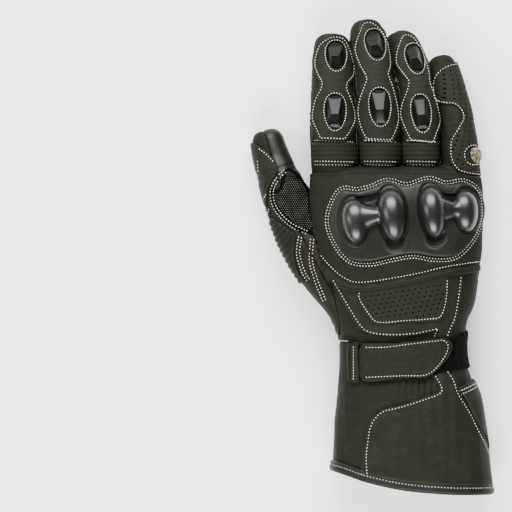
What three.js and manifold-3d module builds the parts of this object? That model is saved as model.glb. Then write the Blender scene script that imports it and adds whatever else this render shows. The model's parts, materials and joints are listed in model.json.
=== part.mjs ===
// Right-hand motorcycle gauntlet glove, laid palm down with its back up.
// Millimetres, +Z up, fingers towards +Y, thumb towards -X. The group is centred over its own footprint.
import * as THREE from "three";
import { mergeVertices } from "three/addons/utils/BufferGeometryUtils.js";
import Module from "manifold-3d";

const wasm = await Module();
wasm.setup();

// Driving sizes, in millimetres
const leather = 2.0; // wall of the sewn hand, finger and cuff shells
const seamGap = 0.35; // clearance between two sewn pieces
const overlayThick = 1.5; // leather laid on the shell
const restZ = 0.6; // the leather is flattened at this height, where the glove rests
const bodySides = 22;
const bodyInnerSides = 16;
const tubeSides = 10;
const tubeInnerSides = 8;
const highZ = 90;
const lowZ = -20;
const roundTopPower = 2.5; // superellipse power of the back of the hand
const flatBottomPower = 3.2; // the palm side is flattened where it rests
const fingerPower = 2.3;

// Hand and cuff: the plan outline and the height of the palm side and of the back at each station
const bodyRows = [
  { y: -160, left: -44.5, right: 62, low: 2.2, high: 54.5 },
  { y: -86, left: -38.8, right: 51.5, low: 2.6, high: 49 },
  { y: -70, left: -37.8, right: 44.5, low: 4, high: 45.5 },
  { y: -56, left: -38, right: 43.2, low: 4.5, high: 45 },
  { y: -44, left: -41, right: 42.5, low: 2.8, high: 46 },
  { y: -30, left: -46.5, right: 48.5, low: 2, high: 47.5 },
  { y: -12, left: -51.5, right: 51.5, low: 2, high: 49 },
  { y: 10, left: -55, right: 52.9, low: 2.8, high: 50.2 },
  { y: 44, left: -55.5, right: 52.8, low: 11, high: 47 },
];
// The hand closes over the finger crotches in these last rows, which move out with the wall they belong to
const bodyFront = [
  { y: 52, left: -54.6, right: 52, low: 15.5, high: 44 },
  { y: 56.5, left: -52.5, right: 50.5, low: 20, high: 39 },
];
const sideSeamRows = [
  { y: -160, z: 27 },
  { y: -60, z: 24 },
  { y: 0, z: 25 },
  { y: 56, z: 29 },
];

// Fingers: centre line, half width and half height of each section, from inside the hand to the last
const fingers = {
  index: {
    tip: 10.5,
    rows: [
      { x: -40.7, y: 34, z: 29.4, wide: 14, tall: 12.4 },
      { x: -42.3, y: 82, z: 28.5, wide: 13.9, tall: 12.4 },
      { x: -42.8, y: 102, z: 24.5, wide: 13.4, tall: 12 },
      { x: -42.6, y: 120, z: 17.5, wide: 12.6, tall: 11.4 },
      { x: -42.6, y: 132, z: 11, wide: 11.6, tall: 10.8 },
    ],
  },
  middle: {
    tip: 11,
    rows: [
      { x: -11.7, y: 34, z: 29.8, wide: 11.7, tall: 12.4 },
      { x: -12.6, y: 84, z: 30, wide: 12.7, tall: 12.4 },
      { x: -13.8, y: 106, z: 26, wide: 12.8, tall: 12 },
      { x: -17.2, y: 128, z: 17.5, wide: 12.1, tall: 11.4 },
      { x: -19.4, y: 141, z: 11, wide: 11.2, tall: 10.8 },
    ],
  },
  ring: {
    tip: 10.5,
    rows: [
      { x: 14.5, y: 34, z: 29.5, wide: 11.5, tall: 12.2 },
      { x: 14, y: 82, z: 29, wide: 11.9, tall: 12 },
      { x: 12.2, y: 102, z: 25, wide: 11.6, tall: 11.6 },
      { x: 7.2, y: 122, z: 17, wide: 11, tall: 11 },
      { x: 3, y: 134, z: 10.6, wide: 10.4, tall: 10.4 },
    ],
  },
  little: {
    tip: 9,
    rows: [
      { x: 40.2, y: 34, z: 28.8, wide: 11.2, tall: 11.6 },
      { x: 38.6, y: 76, z: 27, wide: 10.7, tall: 11.2 },
      { x: 35.6, y: 94, z: 22, wide: 10.3, tall: 10.8 },
      { x: 31.4, y: 110, z: 14.8, wide: 9.8, tall: 10.2 },
      { x: 29, y: 120, z: 9.8, wide: 9.2, tall: 9.6 },
    ],
  },
};
const thumb = {
  tip: 10.5,
  rows: [
    { x: -30, y: -54, z: 24, wide: 7.5, tall: 11 },
    { x: -35.5, y: -34, z: 24, wide: 10.4, tall: 14 },
    { x: -48, y: -10, z: 23, wide: 15.8, tall: 16.6 },
    { x: -58, y: 9, z: 22, wide: 17.2, tall: 16.4 },
    { x: -73.5, y: 44, z: 17, wide: 14.1, tall: 13.6 },
    { x: -79.5, y: 62, z: 13, wide: 11.8, tall: 11.8 },
    { x: -82, y: 71, z: 11.2, wide: 10.8, tall: 11 },
  ],
};

// Small helpers
const mix = (a, b, t) => a + (b - a) * t;
const signedPower = (v, p) => Math.sign(v) * Math.abs(v) ** p;

// A row between two rows of a table, straight or smooth through them
function between(rows, key, at, column) {
  let i = rows.findIndex((r) => r[key] > at) - 1;
  if (i < 0) i = at < rows[0][key] ? 0 : rows.length - 2;
  const [a, b] = [rows[i], rows[i + 1]];
  return mix(a[column], b[column], THREE.MathUtils.clamp((at - a[key]) / (b[key] - a[key]), 0, 1));
}
const sideSeam = (y) => between(sideSeamRows, "y", y, "z");

function manifoldOf(geometry) {
  const bare = geometry.index ? geometry : geometry.clone();
  for (const name of Object.keys(bare.attributes)) {
    if (name !== "position") bare.deleteAttribute(name);
  }
  const merged = mergeVertices(bare, 1e-4);
  const mesh = new wasm.Mesh({
    numProp: 3,
    vertProperties: merged.attributes.position.array,
    triVerts: new Uint32Array(merged.index.array),
  });
  return new wasm.Manifold(mesh);
}

function geometryOf(solid) {
  const mesh = solid.getMesh();
  const step = mesh.numProp;
  const positions = new Float32Array(mesh.numVert * 3);
  for (let i = 0; i < mesh.numVert; i++) {
    positions.set(mesh.vertProperties.subarray(i * step, i * step + 3), i * 3);
  }
  const indexed = new THREE.BufferGeometry();
  indexed.setAttribute("position", new THREE.BufferAttribute(positions, 3));
  indexed.setIndex(new THREE.BufferAttribute(new Uint32Array(mesh.triVerts), 1));
  const flat = indexed.toNonIndexed();
  flat.computeVertexNormals();
  return flat;
}

// A closed solid through rings of the same number of points, with a fan over each end
function loft(rings) {
  const sides = rings[0].length;
  const points = rings.flat();
  const centre = (ring) => ring.reduce((sum, p) => sum.add(p), new THREE.Vector3()).divideScalar(sides);
  const first = points.push(centre(rings[0])) - 1;
  const last = points.push(centre(rings.at(-1))) - 1;
  const faces = [];
  for (let r = 0; r + 1 < rings.length; r++) {
    for (let k = 0; k < sides; k++) {
      const [a, b] = [r * sides + k, r * sides + ((k + 1) % sides)];
      faces.push(a, a + sides, b, b, a + sides, b + sides);
    }
  }
  const top = (rings.length - 1) * sides;
  for (let k = 0; k < sides; k++) {
    const next = (k + 1) % sides;
    faces.push(first, k, next, last, top + next, top + k);
  }
  const geometry = new THREE.BufferGeometry().setFromPoints(points);
  geometry.setIndex(faces);
  const solid = manifoldOf(geometry);
  if (solid.volume() > 0) return solid;
  for (let i = 0; i < faces.length; i += 3) [faces[i + 1], faces[i + 2]] = [faces[i + 2], faces[i + 1]];
  geometry.setIndex(faces);
  return manifoldOf(geometry);
}

// The cuff gathers into soft lengthwise folds below the wrist, deepest on the palm side
function cuffFold(x, y, up) {
  const along = THREE.MathUtils.clamp((-62 - y) / 20, 0, 1) * THREE.MathUtils.clamp((y + 145) / 50, 0, 1);
  return (up ? 0.5 : 1.3) * along * Math.sin(x * 0.42 + 0.8);
}

function bodyRing(row, y, grow, sides) {
  const middle = (row.left + row.right) / 2;
  const wide = (row.right - row.left) / 2 + grow;
  const seam = sideSeam(row.y);
  return Array.from({ length: sides }, (_, k) => {
    const angle = (k / sides) * Math.PI * 2;
    const [c, s] = [Math.cos(angle), Math.sin(angle)];
    const up = s >= 0;
    const power = 2 / (up ? roundTopPower : flatBottomPower);
    const tall = (up ? row.high - seam : seam - row.low) + grow;
    const x = middle + wide * signedPower(c, power);
    const fold = cuffFold(x, row.y, up) * Math.abs(s) * (up ? 1 : -1);
    const z = seam + tall * signedPower(s, power) - Math.abs(fold);
    return new THREE.Vector3(x, y, up ? z : Math.max(z + 2 * Math.abs(fold), row.low - grow));
  });
}

// The hand and cuff as one solid, its wall moved out by grow
const bodyCache = new Map();
function body(grow, sides = bodySides) {
  const key = `${grow.toFixed(3)} ${sides}`;
  if (!bodyCache.has(key)) {
    const rings = bodyRows.map((row, i) => bodyRing(row, row.y - (i === 0 ? 2 - grow : 0), grow, sides));
    rings.push(...bodyFront.map((row) => bodyRing(row, row.y + grow, grow, sides)));
    bodyCache.set(key, loft(rings));
  }
  return bodyCache.get(key);
}
const bodyInner = (grow) => body(grow, bodyInnerSides);

// A finger or thumb tube with a round end, its wall moved out by grow
const tipSteps = [
  { along: 0.52, size: 0.9 },
  { along: 0.94, size: 0.52 },
];
const tubeCache = new Map();
function tube(part, grow, sides) {
  const key = `${part.rows[0].x} ${grow.toFixed(3)} ${sides}`;
  if (tubeCache.has(key)) return tubeCache.get(key);
  const points = part.rows.map((r) => new THREE.Vector3(r.x, r.y, r.z));
  const rings = points.map((p, i) => {
    const ahead = points[Math.min(i + 1, points.length - 1)];
    const along = ahead.clone().sub(points[Math.max(i - 1, 0)]).normalize();
    return ringAround(p, along, part.rows[i].wide + grow, part.rows[i].tall + grow, sides);
  });
  const end = points.at(-1);
  const way = end.clone().sub(points.at(-2)).normalize();
  way.z *= 0.35; // the tip turns level, so the finger lies on its pad
  way.normalize();
  const lastRow = part.rows.at(-1);
  for (const step of tipSteps) {
    const place = end.clone().addScaledVector(way, (part.tip + grow) * step.along);
    const [wide, tall] = [lastRow.wide + grow, lastRow.tall + grow];
    rings.push(ringAround(place, way, wide * step.size, tall * step.size, sides));
  }
  const made = loft(rings);
  tubeCache.set(key, made);
  return made;
}

function ringAround(centre, along, wide, tall, sides) {
  const lateral = new THREE.Vector3().crossVectors(along, new THREE.Vector3(0, 0, 1)).normalize();
  const up = new THREE.Vector3().crossVectors(lateral, along);
  return Array.from({ length: sides }, (_, k) => {
    const angle = ((k + 0.5) / sides) * Math.PI * 2;
    const across = wide * signedPower(Math.cos(angle), 2 / fingerPower);
    const high = tall * signedPower(Math.sin(angle), 2 / fingerPower);
    return centre.clone().addScaledVector(lateral, across).addScaledVector(up, high);
  });
}
const finger = (name, grow) => tube(fingers[name], grow, tubeSides);
const fingerInner = (name, grow) => tube(fingers[name], grow, tubeInnerSides);
const thumbTube = (grow) => tube(thumb, grow, tubeSides);
const thumbInner = (grow) => tube(thumb, grow, tubeInnerSides);

// A ribbed band round a tube, between two points of its centre line: each rib stands up between two grooves
function ribbedTube(part, from, to, ribs, groove, crest) {
  const rings = [];
  for (let k = 0; k <= ribs; k++) {
    for (const [shift, grow] of [[0, groove], [0.5, crest]]) {
      if (k === ribs && shift > 0) break;
      const t = (k + shift) / ribs;
      const y = mix(from, to, t);
      const at = (column, way = 0) => between(part.rows, "y", y + way, column);
      const place = new THREE.Vector3(at("x"), y, at("z"));
      const along = new THREE.Vector3(at("x", 3) - at("x", -3), 6, at("z", 3) - at("z", -3)).normalize();
      rings.push(ringAround(place, along, at("wide") + grow, at("tall") + grow, tubeSides));
    }
  }
  return loft(rings);
}

// A plan outline extruded from one height to another
function prism(outline, low, high) {
  const shape = new THREE.Shape(outline.map(([x, y]) => new THREE.Vector2(x, y)));
  const geometry = new THREE.ExtrudeGeometry(shape, { depth: high - low, bevelEnabled: false, steps: 1 });
  geometry.translate(0, 0, low);
  return manifoldOf(geometry);
}

// A strip that is cut across the fingers: at each row it spans x, and z at its left and right end
function strip(rows) {
  return loft(
    rows.map((r) => [
      new THREE.Vector3(r.x0, r.y, r.low0),
      new THREE.Vector3(r.x1, r.y, r.low1),
      new THREE.Vector3(r.x1, r.y, r.high1),
      new THREE.Vector3(r.x0, r.y, r.high0),
    ]),
  );
}

const unite = (solids) => solids.reduce((sum, s) => sum.add(s));
const biggest = (solid) => solid.decompose().sort((a, b) => b.volume() - a.volume())[0];

// The hem slants from the thumb side down to the little-finger side
const hemRows = [
  { x: -80, y: -133.5 },
  { x: -40, y: -137.5 },
  { x: 4, y: -149 },
  { x: 90, y: -152.5 },
];
const hemAt = (x) => between(hemRows, "x", x, "y");
function aboveHem(offset) {
  const edge = hemRows.map((r) => [r.x, r.y + offset]);
  return prism([...edge, [90, 220], [-110, 220], [-110, -136 + offset]], lowZ, highZ);
}

// Bands of the body between two stations
const slab = (yLow, yHigh) => prism([[-120, yLow], [90, yLow], [90, yHigh], [-120, yHigh]], lowZ, highZ);
// Everything above the side seam of the hand and cuff
function upperHalf(drop) {
  const rows = sideSeamRows.map((r) => ({ y: r.y, x0: -120, x1: 90, z: r.z - drop }));
  rows[0].y = -175;
  rows.push({ y: 62, x0: -120, x1: 90, z: 29.5 - drop });
  return strip(rows.map((r) => ({ ...r, low0: r.z, low1: r.z, high0: highZ, high1: highZ })));
}

// Everything above the middle of each finger
const fingerOrder = ["index", "middle", "ring", "little"];
const fingerZ = (name, y) => between(fingers[name].rows, "y", y, "z");
const fingerX = (name, y) => between(fingers[name].rows, "y", y, "x");
const fingerWide = (name, y) => between(fingers[name].rows, "y", y, "wide");
function gapX(i, y) {
  if (i < 0) return -110;
  if (i > 2) return 90;
  const [a, b] = [fingerOrder[i], fingerOrder[i + 1]];
  return (fingerX(a, y) + fingerWide(a, y) + fingerX(b, y) - fingerWide(b, y)) / 2;
}
const tipsEnd = 170;
const fingerCuts = [61, 90, 115, 137, tipsEnd];
// The space of one finger, from the gap at its left to the gap at its right
const fingerColumn = (i) =>
  strip([50, ...fingerCuts].map((y) => ({
    y,
    x0: gapX(i - 1, y),
    x1: gapX(i, y),
    low0: lowZ,
    low1: lowZ,
    high0: highZ,
    high1: highZ,
  })));
function fingersUpper(drop) {
  return unite(
    fingerOrder.map((name, i) =>
      strip(
        fingerCuts.map((y) => {
          const z = fingerZ(name, y) - drop;
          return { y, x0: gapX(i - 1, y), x1: gapX(i, y), low0: z, low1: z, high0: highZ, high1: highZ };
        }),
      ),
    ),
  );
}
const aboveSeams = (drop) => upperHalf(drop).add(fingersUpper(drop));

// The space of one fourchette, from the crotch almost to the shorter finger's tip
const fourchetteEnd = [122, 124, 110];
const fourchetteHalf = 5.4; // half its height
function fourchetteSpace(i, grow) {
  const [a, b] = [fingerOrder[i], fingerOrder[i + 1]];
  const half = fourchetteHalf + grow;
  const stations = [50 - grow, 84, fourchetteEnd[i] + grow];
  return strip(
    stations.map((y) => {
      const [za, zb] = [fingerZ(a, y), fingerZ(b, y)];
      return {
        y,
        x0: fingerX(a, y) + 3,
        x1: fingerX(b, y) - 3,
        low0: za - half,
        low1: zb - half,
        high0: za + half,
        high1: zb + half,
      };
    }),
  );
}

// Sewn shells
const handOuter = unite([body(0), ...fingerOrder.map((n) => finger(n, 0))]);
const handInner = unite([bodyInner(-leather), ...fingerOrder.map((n) => fingerInner(n, -leather))]);
const wholeShell = handOuter.subtract(handInner).subtract(thumbInner(-leather));
const wristBackEnd = -56;
const palmEnd = -39;
const gatherEnd = -56;

const pieces = []; // { name, solid, slot }
const aboveRest = prism([[-150, -220], [120, -220], [120, 220], [-150, 220]], restZ, highZ);
function add(name, slot, solid) {
  const rests = solid.boundingBox().min[2] < restZ;
  pieces.push({ name, slot, solid: biggest(rests ? solid.intersect(aboveRest) : solid) });
}

const fourchettes = [0, 1, 2].map((i) => wholeShell.intersect(fourchetteSpace(i, 0)));
const withoutFourchettes = [0, 1, 2].reduce(
  (solid, i) => solid.subtract(fourchetteSpace(i, seamGap)),
  wholeShell,
);
const overSeams = aboveSeams(0);
const underSeams = aboveSeams(seamGap);
const upperShell = withoutFourchettes.intersect(overSeams);
const lowerShell = withoutFourchettes.subtract(underSeams);
const fingerRoot = 57; // the finger stalls are sewn on just past the crotches
add("back_panel", "back_leather", upperShell.intersect(slab(wristBackEnd, fingerRoot)));
add("palm_panel", "palm_leather", lowerShell.intersect(slab(palmEnd, fingerRoot)));
fingerOrder.forEach((name, i) => {
  const stall = slab(fingerRoot + seamGap, tipsEnd).intersect(fingerColumn(i));
  add(`${name}_back`, "back_leather", upperShell.intersect(stall));
  add(`${name}_palm`, "palm_leather", lowerShell.intersect(stall));
});
["fourchette_index_middle", "fourchette_middle_ring", "fourchette_ring_little"].forEach((name, i) =>
  add(name, "palm_leather", fourchettes[i]),
);

// Thumb stall: its outer half is the back leather and its inner half the palm leather
const thumbShell = thumbTube(0).subtract(thumbInner(-leather)).subtract(body(seamGap));
function thumbOuterSide(shift) {
  const line = thumb.rows.map((r) => [r.x - 1.5 + shift, r.y]);
  return prism([...line, [-84 + shift, 110], [-150, 110], [-150, -60]], lowZ, highZ);
}
add("thumb_back", "back_leather", thumbShell.intersect(thumbOuterSide(0)));
add("thumb_palm", "palm_leather", thumbShell.subtract(thumbOuterSide(seamGap)));

// Gathered wrist band on the palm side: its own loft, because the gathers are finer than the hand's facets
const gatherSides = 66; // three for each gather
const gatherInnerSides = 22;
const gatherCount = 22;
const gatherSink = 0.45; // the gathers lie a little below the leather beside them
const gatherWall = leather + 1.1;
function gatherRing(y, grow, depth, sides) {
  const columns = ["left", "right", "low", "high"];
  const row = Object.fromEntries(columns.map((c) => [c, between(bodyRows, "y", y, c)]));
  const middle = (row.left + row.right) / 2;
  const seam = sideSeam(y);
  return Array.from({ length: sides }, (_, k) => {
    const angle = (k / sides) * Math.PI * 2;
    const [c, s] = [Math.cos(angle), Math.sin(angle)];
    const power = 2 / (s >= 0 ? roundTopPower : flatBottomPower);
    const ripple = depth * (0.5 + 0.5 * Math.cos(angle * gatherCount));
    const wide = (row.right - row.left) / 2 + grow - ripple;
    const tall = (s >= 0 ? row.high - seam : seam - row.low) + grow - ripple;
    return new THREE.Vector3(middle + wide * signedPower(c, power), y, seam + tall * signedPower(s, power));
  });
}
const gatherRows = [
  { y: gatherEnd + seamGap, depth: 0.9 },
  { y: -48, depth: 1.4 },
  { y: palmEnd - seamGap, depth: 0.5 },
];
const gatherOuter = loft(gatherRows.map((r) => gatherRing(r.y, -gatherSink, r.depth, gatherSides)));
const gatherInner = loft(
  gatherRows.map((r, i) => gatherRing(r.y + [-1, 0, 1][i], -gatherWall, 0, gatherInnerSides)),
);
add("wrist_gather", "palm_leather", gatherOuter.subtract(gatherInner).subtract(underSeams));

// Cuff: back and palm halves from the wrist to the hem
const cuffShell = wholeShell.intersect(slab(-170, gatherEnd - seamGap)).intersect(aboveHem(0));
add("cuff_back", "back_leather", cuffShell.intersect(overSeams));
add("cuff_palm", "palm_leather", cuffShell.subtract(underSeams));

// The binding folds over the hem, with the cuff's edge inside it
const bindingThick = 1.0;
const bindingWide = 4.2;
const bindingBlock = body(seamGap + bindingThick).subtract(bodyInner(-leather - seamGap - bindingThick));
const bindingSpace = aboveHem(-seamGap - bindingThick).subtract(aboveHem(bindingWide));
const bindingSlot = body(seamGap).subtract(bodyInner(-leather - seamGap)).intersect(aboveHem(-seamGap));
add("cuff_binding", "binding", bindingBlock.intersect(bindingSpace).subtract(bindingSlot));

// A piece of leather laid on a carrier between two distances from it
const layer = (carrier, low, high) => carrier(high).subtract(carrier(low));
const overBack = 27; // lowest height that a piece on the back reaches down to
const underTop = 20; // highest that a piece on the palm side reaches up to
const onBack = (outline, low = overBack) => prism(outline, low, highZ);

// Finger overlays: two bulges with a waist between them, and a window for each stud
const overlayRows = {
  index: [
    { y: 72.5, left: -49.5, right: -32.5 },
    { y: 82, left: -53.4, right: -29 },
    { y: 97, left: -53.4, right: -29.6 },
    { y: 108.5, left: -49, right: -33.2 },
    { y: 119, left: -52.8, right: -30 },
    { y: 131, left: -50.8, right: -32.6 },
    { y: 139.5, left: -45.5, right: -37 },
  ],
  middle: [
    { y: 72, left: -19.3, right: -4.8 },
    { y: 81, left: -23.2, right: -1.8 },
    { y: 97, left: -24.2, right: -1.2 },
    { y: 111, left: -20.4, right: -5 },
    { y: 122, left: -24.6, right: -6 },
    { y: 136, left: -26.4, right: -8.4 },
    { y: 148, left: -22, right: -15 },
  ],
  ring: [
    { y: 72, left: 8.6, right: 22 },
    { y: 82, left: 4.4, right: 24.6 },
    { y: 98, left: 4, right: 23.6 },
    { y: 110, left: 6.6, right: 19.4 },
    { y: 120, left: 1.6, right: 17.8 },
    { y: 131, left: -0.6, right: 14.2 },
    { y: 141, left: 2.6, right: 8 },
  ],
};
const studs = [
  { finger: "index", name: "index_stud_near", x: -40.6, y: 91, wide: 5.8, long: 10.4, lean: 0 },
  { finger: "index", name: "index_stud_far", x: -40.6, y: 126.4, wide: 5.6, long: 8.6, lean: 2 },
  { finger: "middle", name: "middle_stud_near", x: -12, y: 94, wide: 5.8, long: 10.6, lean: 3 },
  { finger: "middle", name: "middle_stud_far", x: -15.6, y: 134, wide: 5.4, long: 8.6, lean: 11 },
  { finger: "ring", name: "ring_stud_near", x: 14.4, y: 90.4, wide: 5.2, long: 10.4, lean: 6 },
  { finger: "ring", name: "ring_stud_far", x: 9, y: 125.6, wide: 4.8, long: 8.4, lean: 14 },
];
const windowEdge = 0.6;
const studHeights = { foot: 0.9, toTip: 1.6, peak: 4.6, behind: 1.8 };
// Plan corners of a stud's six-sided foot, moved out by an edge
const studFoot = (spec, edge) => {
  const [w, l] = [spec.wide + edge, spec.long + edge];
  return [[-w * 0.5, l], [w * 0.5, l], [w, 0], [w * 0.55, -l], [-w * 0.55, -l], [-w, 0]];
};
const fromRows = (rows) => [
  ...rows.map((r) => [r.right, r.y]),
  ...rows.toReversed().map((r) => [r.left, r.y]),
];

// Where a stud sits on the top of its finger, leaning with the finger's own slope
function studPlace(spec) {
  const rows = fingers[spec.finger].rows;
  const topAt = (y) => between(rows, "y", y, "z") + between(rows, "y", y, "tall");
  const side = (spec.x - fingerX(spec.finger, spec.y)) / fingerWide(spec.finger, spec.y);
  const height = (1 - Math.abs(side) ** fingerPower) ** (1 / fingerPower);
  const drop = between(rows, "y", spec.y, "tall") * (1 - height);
  const pitch = Math.atan2(topAt(spec.y + 4) - topAt(spec.y - 4), 8);
  return new THREE.Matrix4()
    .makeTranslation(spec.x, spec.y, topAt(spec.y) - drop + seamGap)
    .multiply(new THREE.Matrix4().makeRotationFromEuler(new THREE.Euler(0, side * 0.7, 0)))
    .multiply(new THREE.Matrix4().makeRotationX(pitch))
    .multiply(new THREE.Matrix4().makeRotationZ(THREE.MathUtils.degToRad(spec.lean)));
}
function studWindow(spec) {
  const foot = studFoot(spec, windowEdge);
  const rings = [-8, 8].map((z) => foot.map(([x, y]) => new THREE.Vector3(x, y, z)));
  return manifoldOf(geometryOf(loft(rings)).applyMatrix4(studPlace(spec)));
}

for (const [name, rows] of Object.entries(overlayRows)) {
  let overlay = layer((g) => finger(name, g), seamGap, seamGap + overlayThick);
  overlay = overlay.intersect(onBack(fromRows(rows), 12)).intersect(fingersUpper(-2));
  for (const stud of studs.filter((s) => s.finger === name)) {
    overlay = overlay.subtract(studWindow(stud));
  }
  add(`${name}_overlay`, "overlay_leather", overlay);
}

// Studs: a six-sided foot, and a ridge that rises slowly from the tip end and drops steeply behind its peak
function studSolid(spec) {
  const l = spec.long;
  const ridge = spec.wide * 0.42;
  const foot = studFoot(spec, 0);
  const h = studHeights;
  const crest = [
    [-ridge, l * 0.86, h.toTip],
    [ridge, l * 0.86, h.toTip],
    [ridge, -l * 0.12, h.peak],
    [ridge, -l * 0.82, h.behind],
    [-ridge, -l * 0.82, h.behind],
    [-ridge, -l * 0.12, h.peak],
  ];
  const order = [0, 1, 2, 3, 4, 5];
  const lowRing = order.map((k) => new THREE.Vector3(foot[k][0], foot[k][1], -6));
  const midRing = order.map((k) => new THREE.Vector3(foot[k][0], foot[k][1], h.foot));
  const topRing = order.map((k) => new THREE.Vector3(...crest[k]));
  const solid = loft([lowRing, midRing, topRing]);
  return manifoldOf(geometryOf(solid).applyMatrix4(studPlace(spec))).subtract(finger(spec.finger, seamGap));
}
for (const spec of studs) add(spec.name, "stud_plastic", studSolid(spec));

// Ribbed stretch bands across the finger roots
const bandRibs = 4;
const bandRows = { index: [-54, -28], middle: [-22.6, -1.2], ring: [4.6, 24.4] };
const bandGroove = seamGap + 0.7;
const bandLow = 57.4;
const bandHigh = 71.6;
for (const [name, [left, right]] of Object.entries(bandRows)) {
  const ribbed = ribbedTube(fingers[name], bandLow, bandHigh, bandRibs, bandGroove, bandGroove + 0.8);
  const plan = [[left, bandLow], [right, bandLow], [right, bandHigh], [left, bandHigh]];
  const band = ribbed.subtract(finger(name, seamGap)).intersect(onBack(plan, 33));
  add(`${name}_stretch_band`, "back_leather", band);
}

// Perforated panel down the outer side of the little finger, on to the edge of the hand
const littleCarrier = (g) => finger("little", g).add(body(g));
const perforatedPlan = [
  [36, 118],
  [26, 113],
  [25, 100],
  [36.5, 96],
  [40.6, 86],
  [34.2, 70],
  [36.5, 57],
  [44, 51.8],
  [60, 50.6],
  [62, 90],
  [48, 116],
];
const badge = { x: 50.2, z: 33.2, y: 64.3, radius: 4.8, thick: 1.6, turn: 62 };
const badgeTurn = new THREE.Matrix4()
  .makeTranslation(badge.x, badge.y, badge.z)
  .multiply(new THREE.Matrix4().makeRotationY(THREE.MathUtils.degToRad(badge.turn)))
  .multiply(new THREE.Matrix4().makeRotationX(Math.PI / 2));
const discSolid = (radius, thick) =>
  manifoldOf(new THREE.CylinderGeometry(radius, radius, thick, 16).applyMatrix4(badgeTurn));
const badgeHole = discSolid(badge.radius + 0.6, 14);
const sidePanel = layer(littleCarrier, seamGap, seamGap + 1.2)
  .intersect(prism(perforatedPlan, 9, highZ))
  .intersect(aboveSeams(-1.5))
  .subtract(badgeHole);
add("little_side_panel", "perforated_leather", sidePanel);
add("side_badge", "badge_metal", discSolid(badge.radius, badge.thick + 5).subtract(littleCarrier(seamGap)));

// Knuckle panel: padded leather over the back, ending in a rolled edge
const knucklePadThick = 2.0;
const knucklePlan = [
  [-58, 50.5],
  [-27, 51.5],
  [2, 52],
  [28, 51.5],
  [58, 48],
  [58, -9],
  [18, -15.5],
  [-24, -22.8],
  [-33, -21],
  [-43, -14.5],
  [-52, -4],
  [-58, 4],
];
const knuckleTop = body(seamGap + knucklePadThick).subtract(body(seamGap));
add(
  "knuckle_panel",
  "back_leather",
  knuckleTop
    .intersect(prism(knucklePlan, 34, highZ))
    .subtract(sidePanel)
    .subtract(unite([thumbTube(2), ...fingerOrder.map((n) => finger(n, 1))])),
);

// Knuckle guard: a moulded plate with two pairs of domes, each pair joined by a bridge over a vent
const guardPlan = [
  [-35.7, 40.2],
  [-21, 40.2],
  [-7, 45.6],
  [4.5, 42.8],
  [19.5, 46.8],
  [30, 43.8],
  [42, 45.2],
  [49.4, 40],
  [52, 27],
  [46.5, 11.4],
  [35.4, 0.4],
  [9, 1.2],
  [-18.7, -3.8],
  [-30.5, -2],
  [-39.5, 9],
  [-43.4, 23.5],
];
const padTop = seamGap + knucklePadThick;
const plateLow = padTop + seamGap;
const plateThick = 2.2;
const plateHigh = plateLow + plateThick;
const domes = [
  { x: -27.7, y: 21.4, wide: 8.8, long: 14.8, high: 12, lean: 6 },
  { x: -4.1, y: 24.8, wide: 9.4, long: 17.6, high: 13.5, lean: 7 },
  { x: 21.2, y: 27, wide: 8.6, long: 17.2, high: 13, lean: 7 },
  { x: 42, y: 27.4, wide: 8, long: 14, high: 11, lean: 4 },
];
const bodyTopAt = (x, y) => {
  const row = Object.fromEntries(["left", "right", "high"].map((c) => [c, between(bodyRows, "y", y, c)]));
  const across = Math.abs(x - (row.left + row.right) / 2) / ((row.right - row.left) / 2);
  const seam = sideSeam(y);
  return seam + (row.high - seam) * (1 - across ** roundTopPower) ** (1 / roundTopPower);
};
function domeSolid(d, grow, sink) {
  const geometry = new THREE.SphereGeometry(1, 12, 6);
  geometry.scale(d.wide + grow, d.long + grow, d.high + grow);
  geometry.rotateZ(THREE.MathUtils.degToRad(d.lean));
  const tilt = (bodyTopAt(d.x + 4, d.y) - bodyTopAt(d.x - 4, d.y)) / 8;
  geometry.rotateY(-Math.atan(tilt) * 0.8);
  geometry.translate(d.x, d.y, bodyTopAt(d.x, d.y) + sink);
  return manifoldOf(geometry);
}
const plate = layer(body, plateLow, plateHigh).intersect(prism(guardPlan, 36, highZ));
const domeSink = plateHigh - 2.5;
const saddle = { radius: 3.6, widen: 2.3, flatten: 0.95, reach: 1.1, raise: 3.2 };
function bridge(a, b) {
  const middle = { x: (a.x + b.x) / 2, y: (a.y + b.y) / 2 - 1 };
  const long = Math.hypot(b.x - a.x, b.y - a.y) / 2;
  const geometry = new THREE.CapsuleGeometry(saddle.radius, long * saddle.reach, 2, 8);
  geometry.rotateZ(Math.PI / 2);
  geometry.scale(1, saddle.widen, saddle.flatten);
  geometry.rotateZ(Math.atan2(b.y - a.y, b.x - a.x));
  const tilt = (bodyTopAt(b.x, b.y) - bodyTopAt(a.x, a.y)) / (b.x - a.x);
  geometry.rotateY(-Math.atan(tilt));
  geometry.translate(middle.x, middle.y, bodyTopAt(middle.x, middle.y) + plateHigh + saddle.raise);
  return manifoldOf(geometry);
}
function domePair(a, b) {
  const joined = unite([domeSolid(a, 0, domeSink), domeSolid(b, 0, domeSink), bridge(a, b)]);
  return joined.subtract(body(plateHigh + seamGap));
}
add("knuckle_plate", "guard_satin", plate);
add("knuckle_domes_index_side", "guard_gloss", domePair(domes[0], domes[1]));
add("knuckle_domes_little_side", "guard_gloss", domePair(domes[2], domes[3]));

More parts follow.
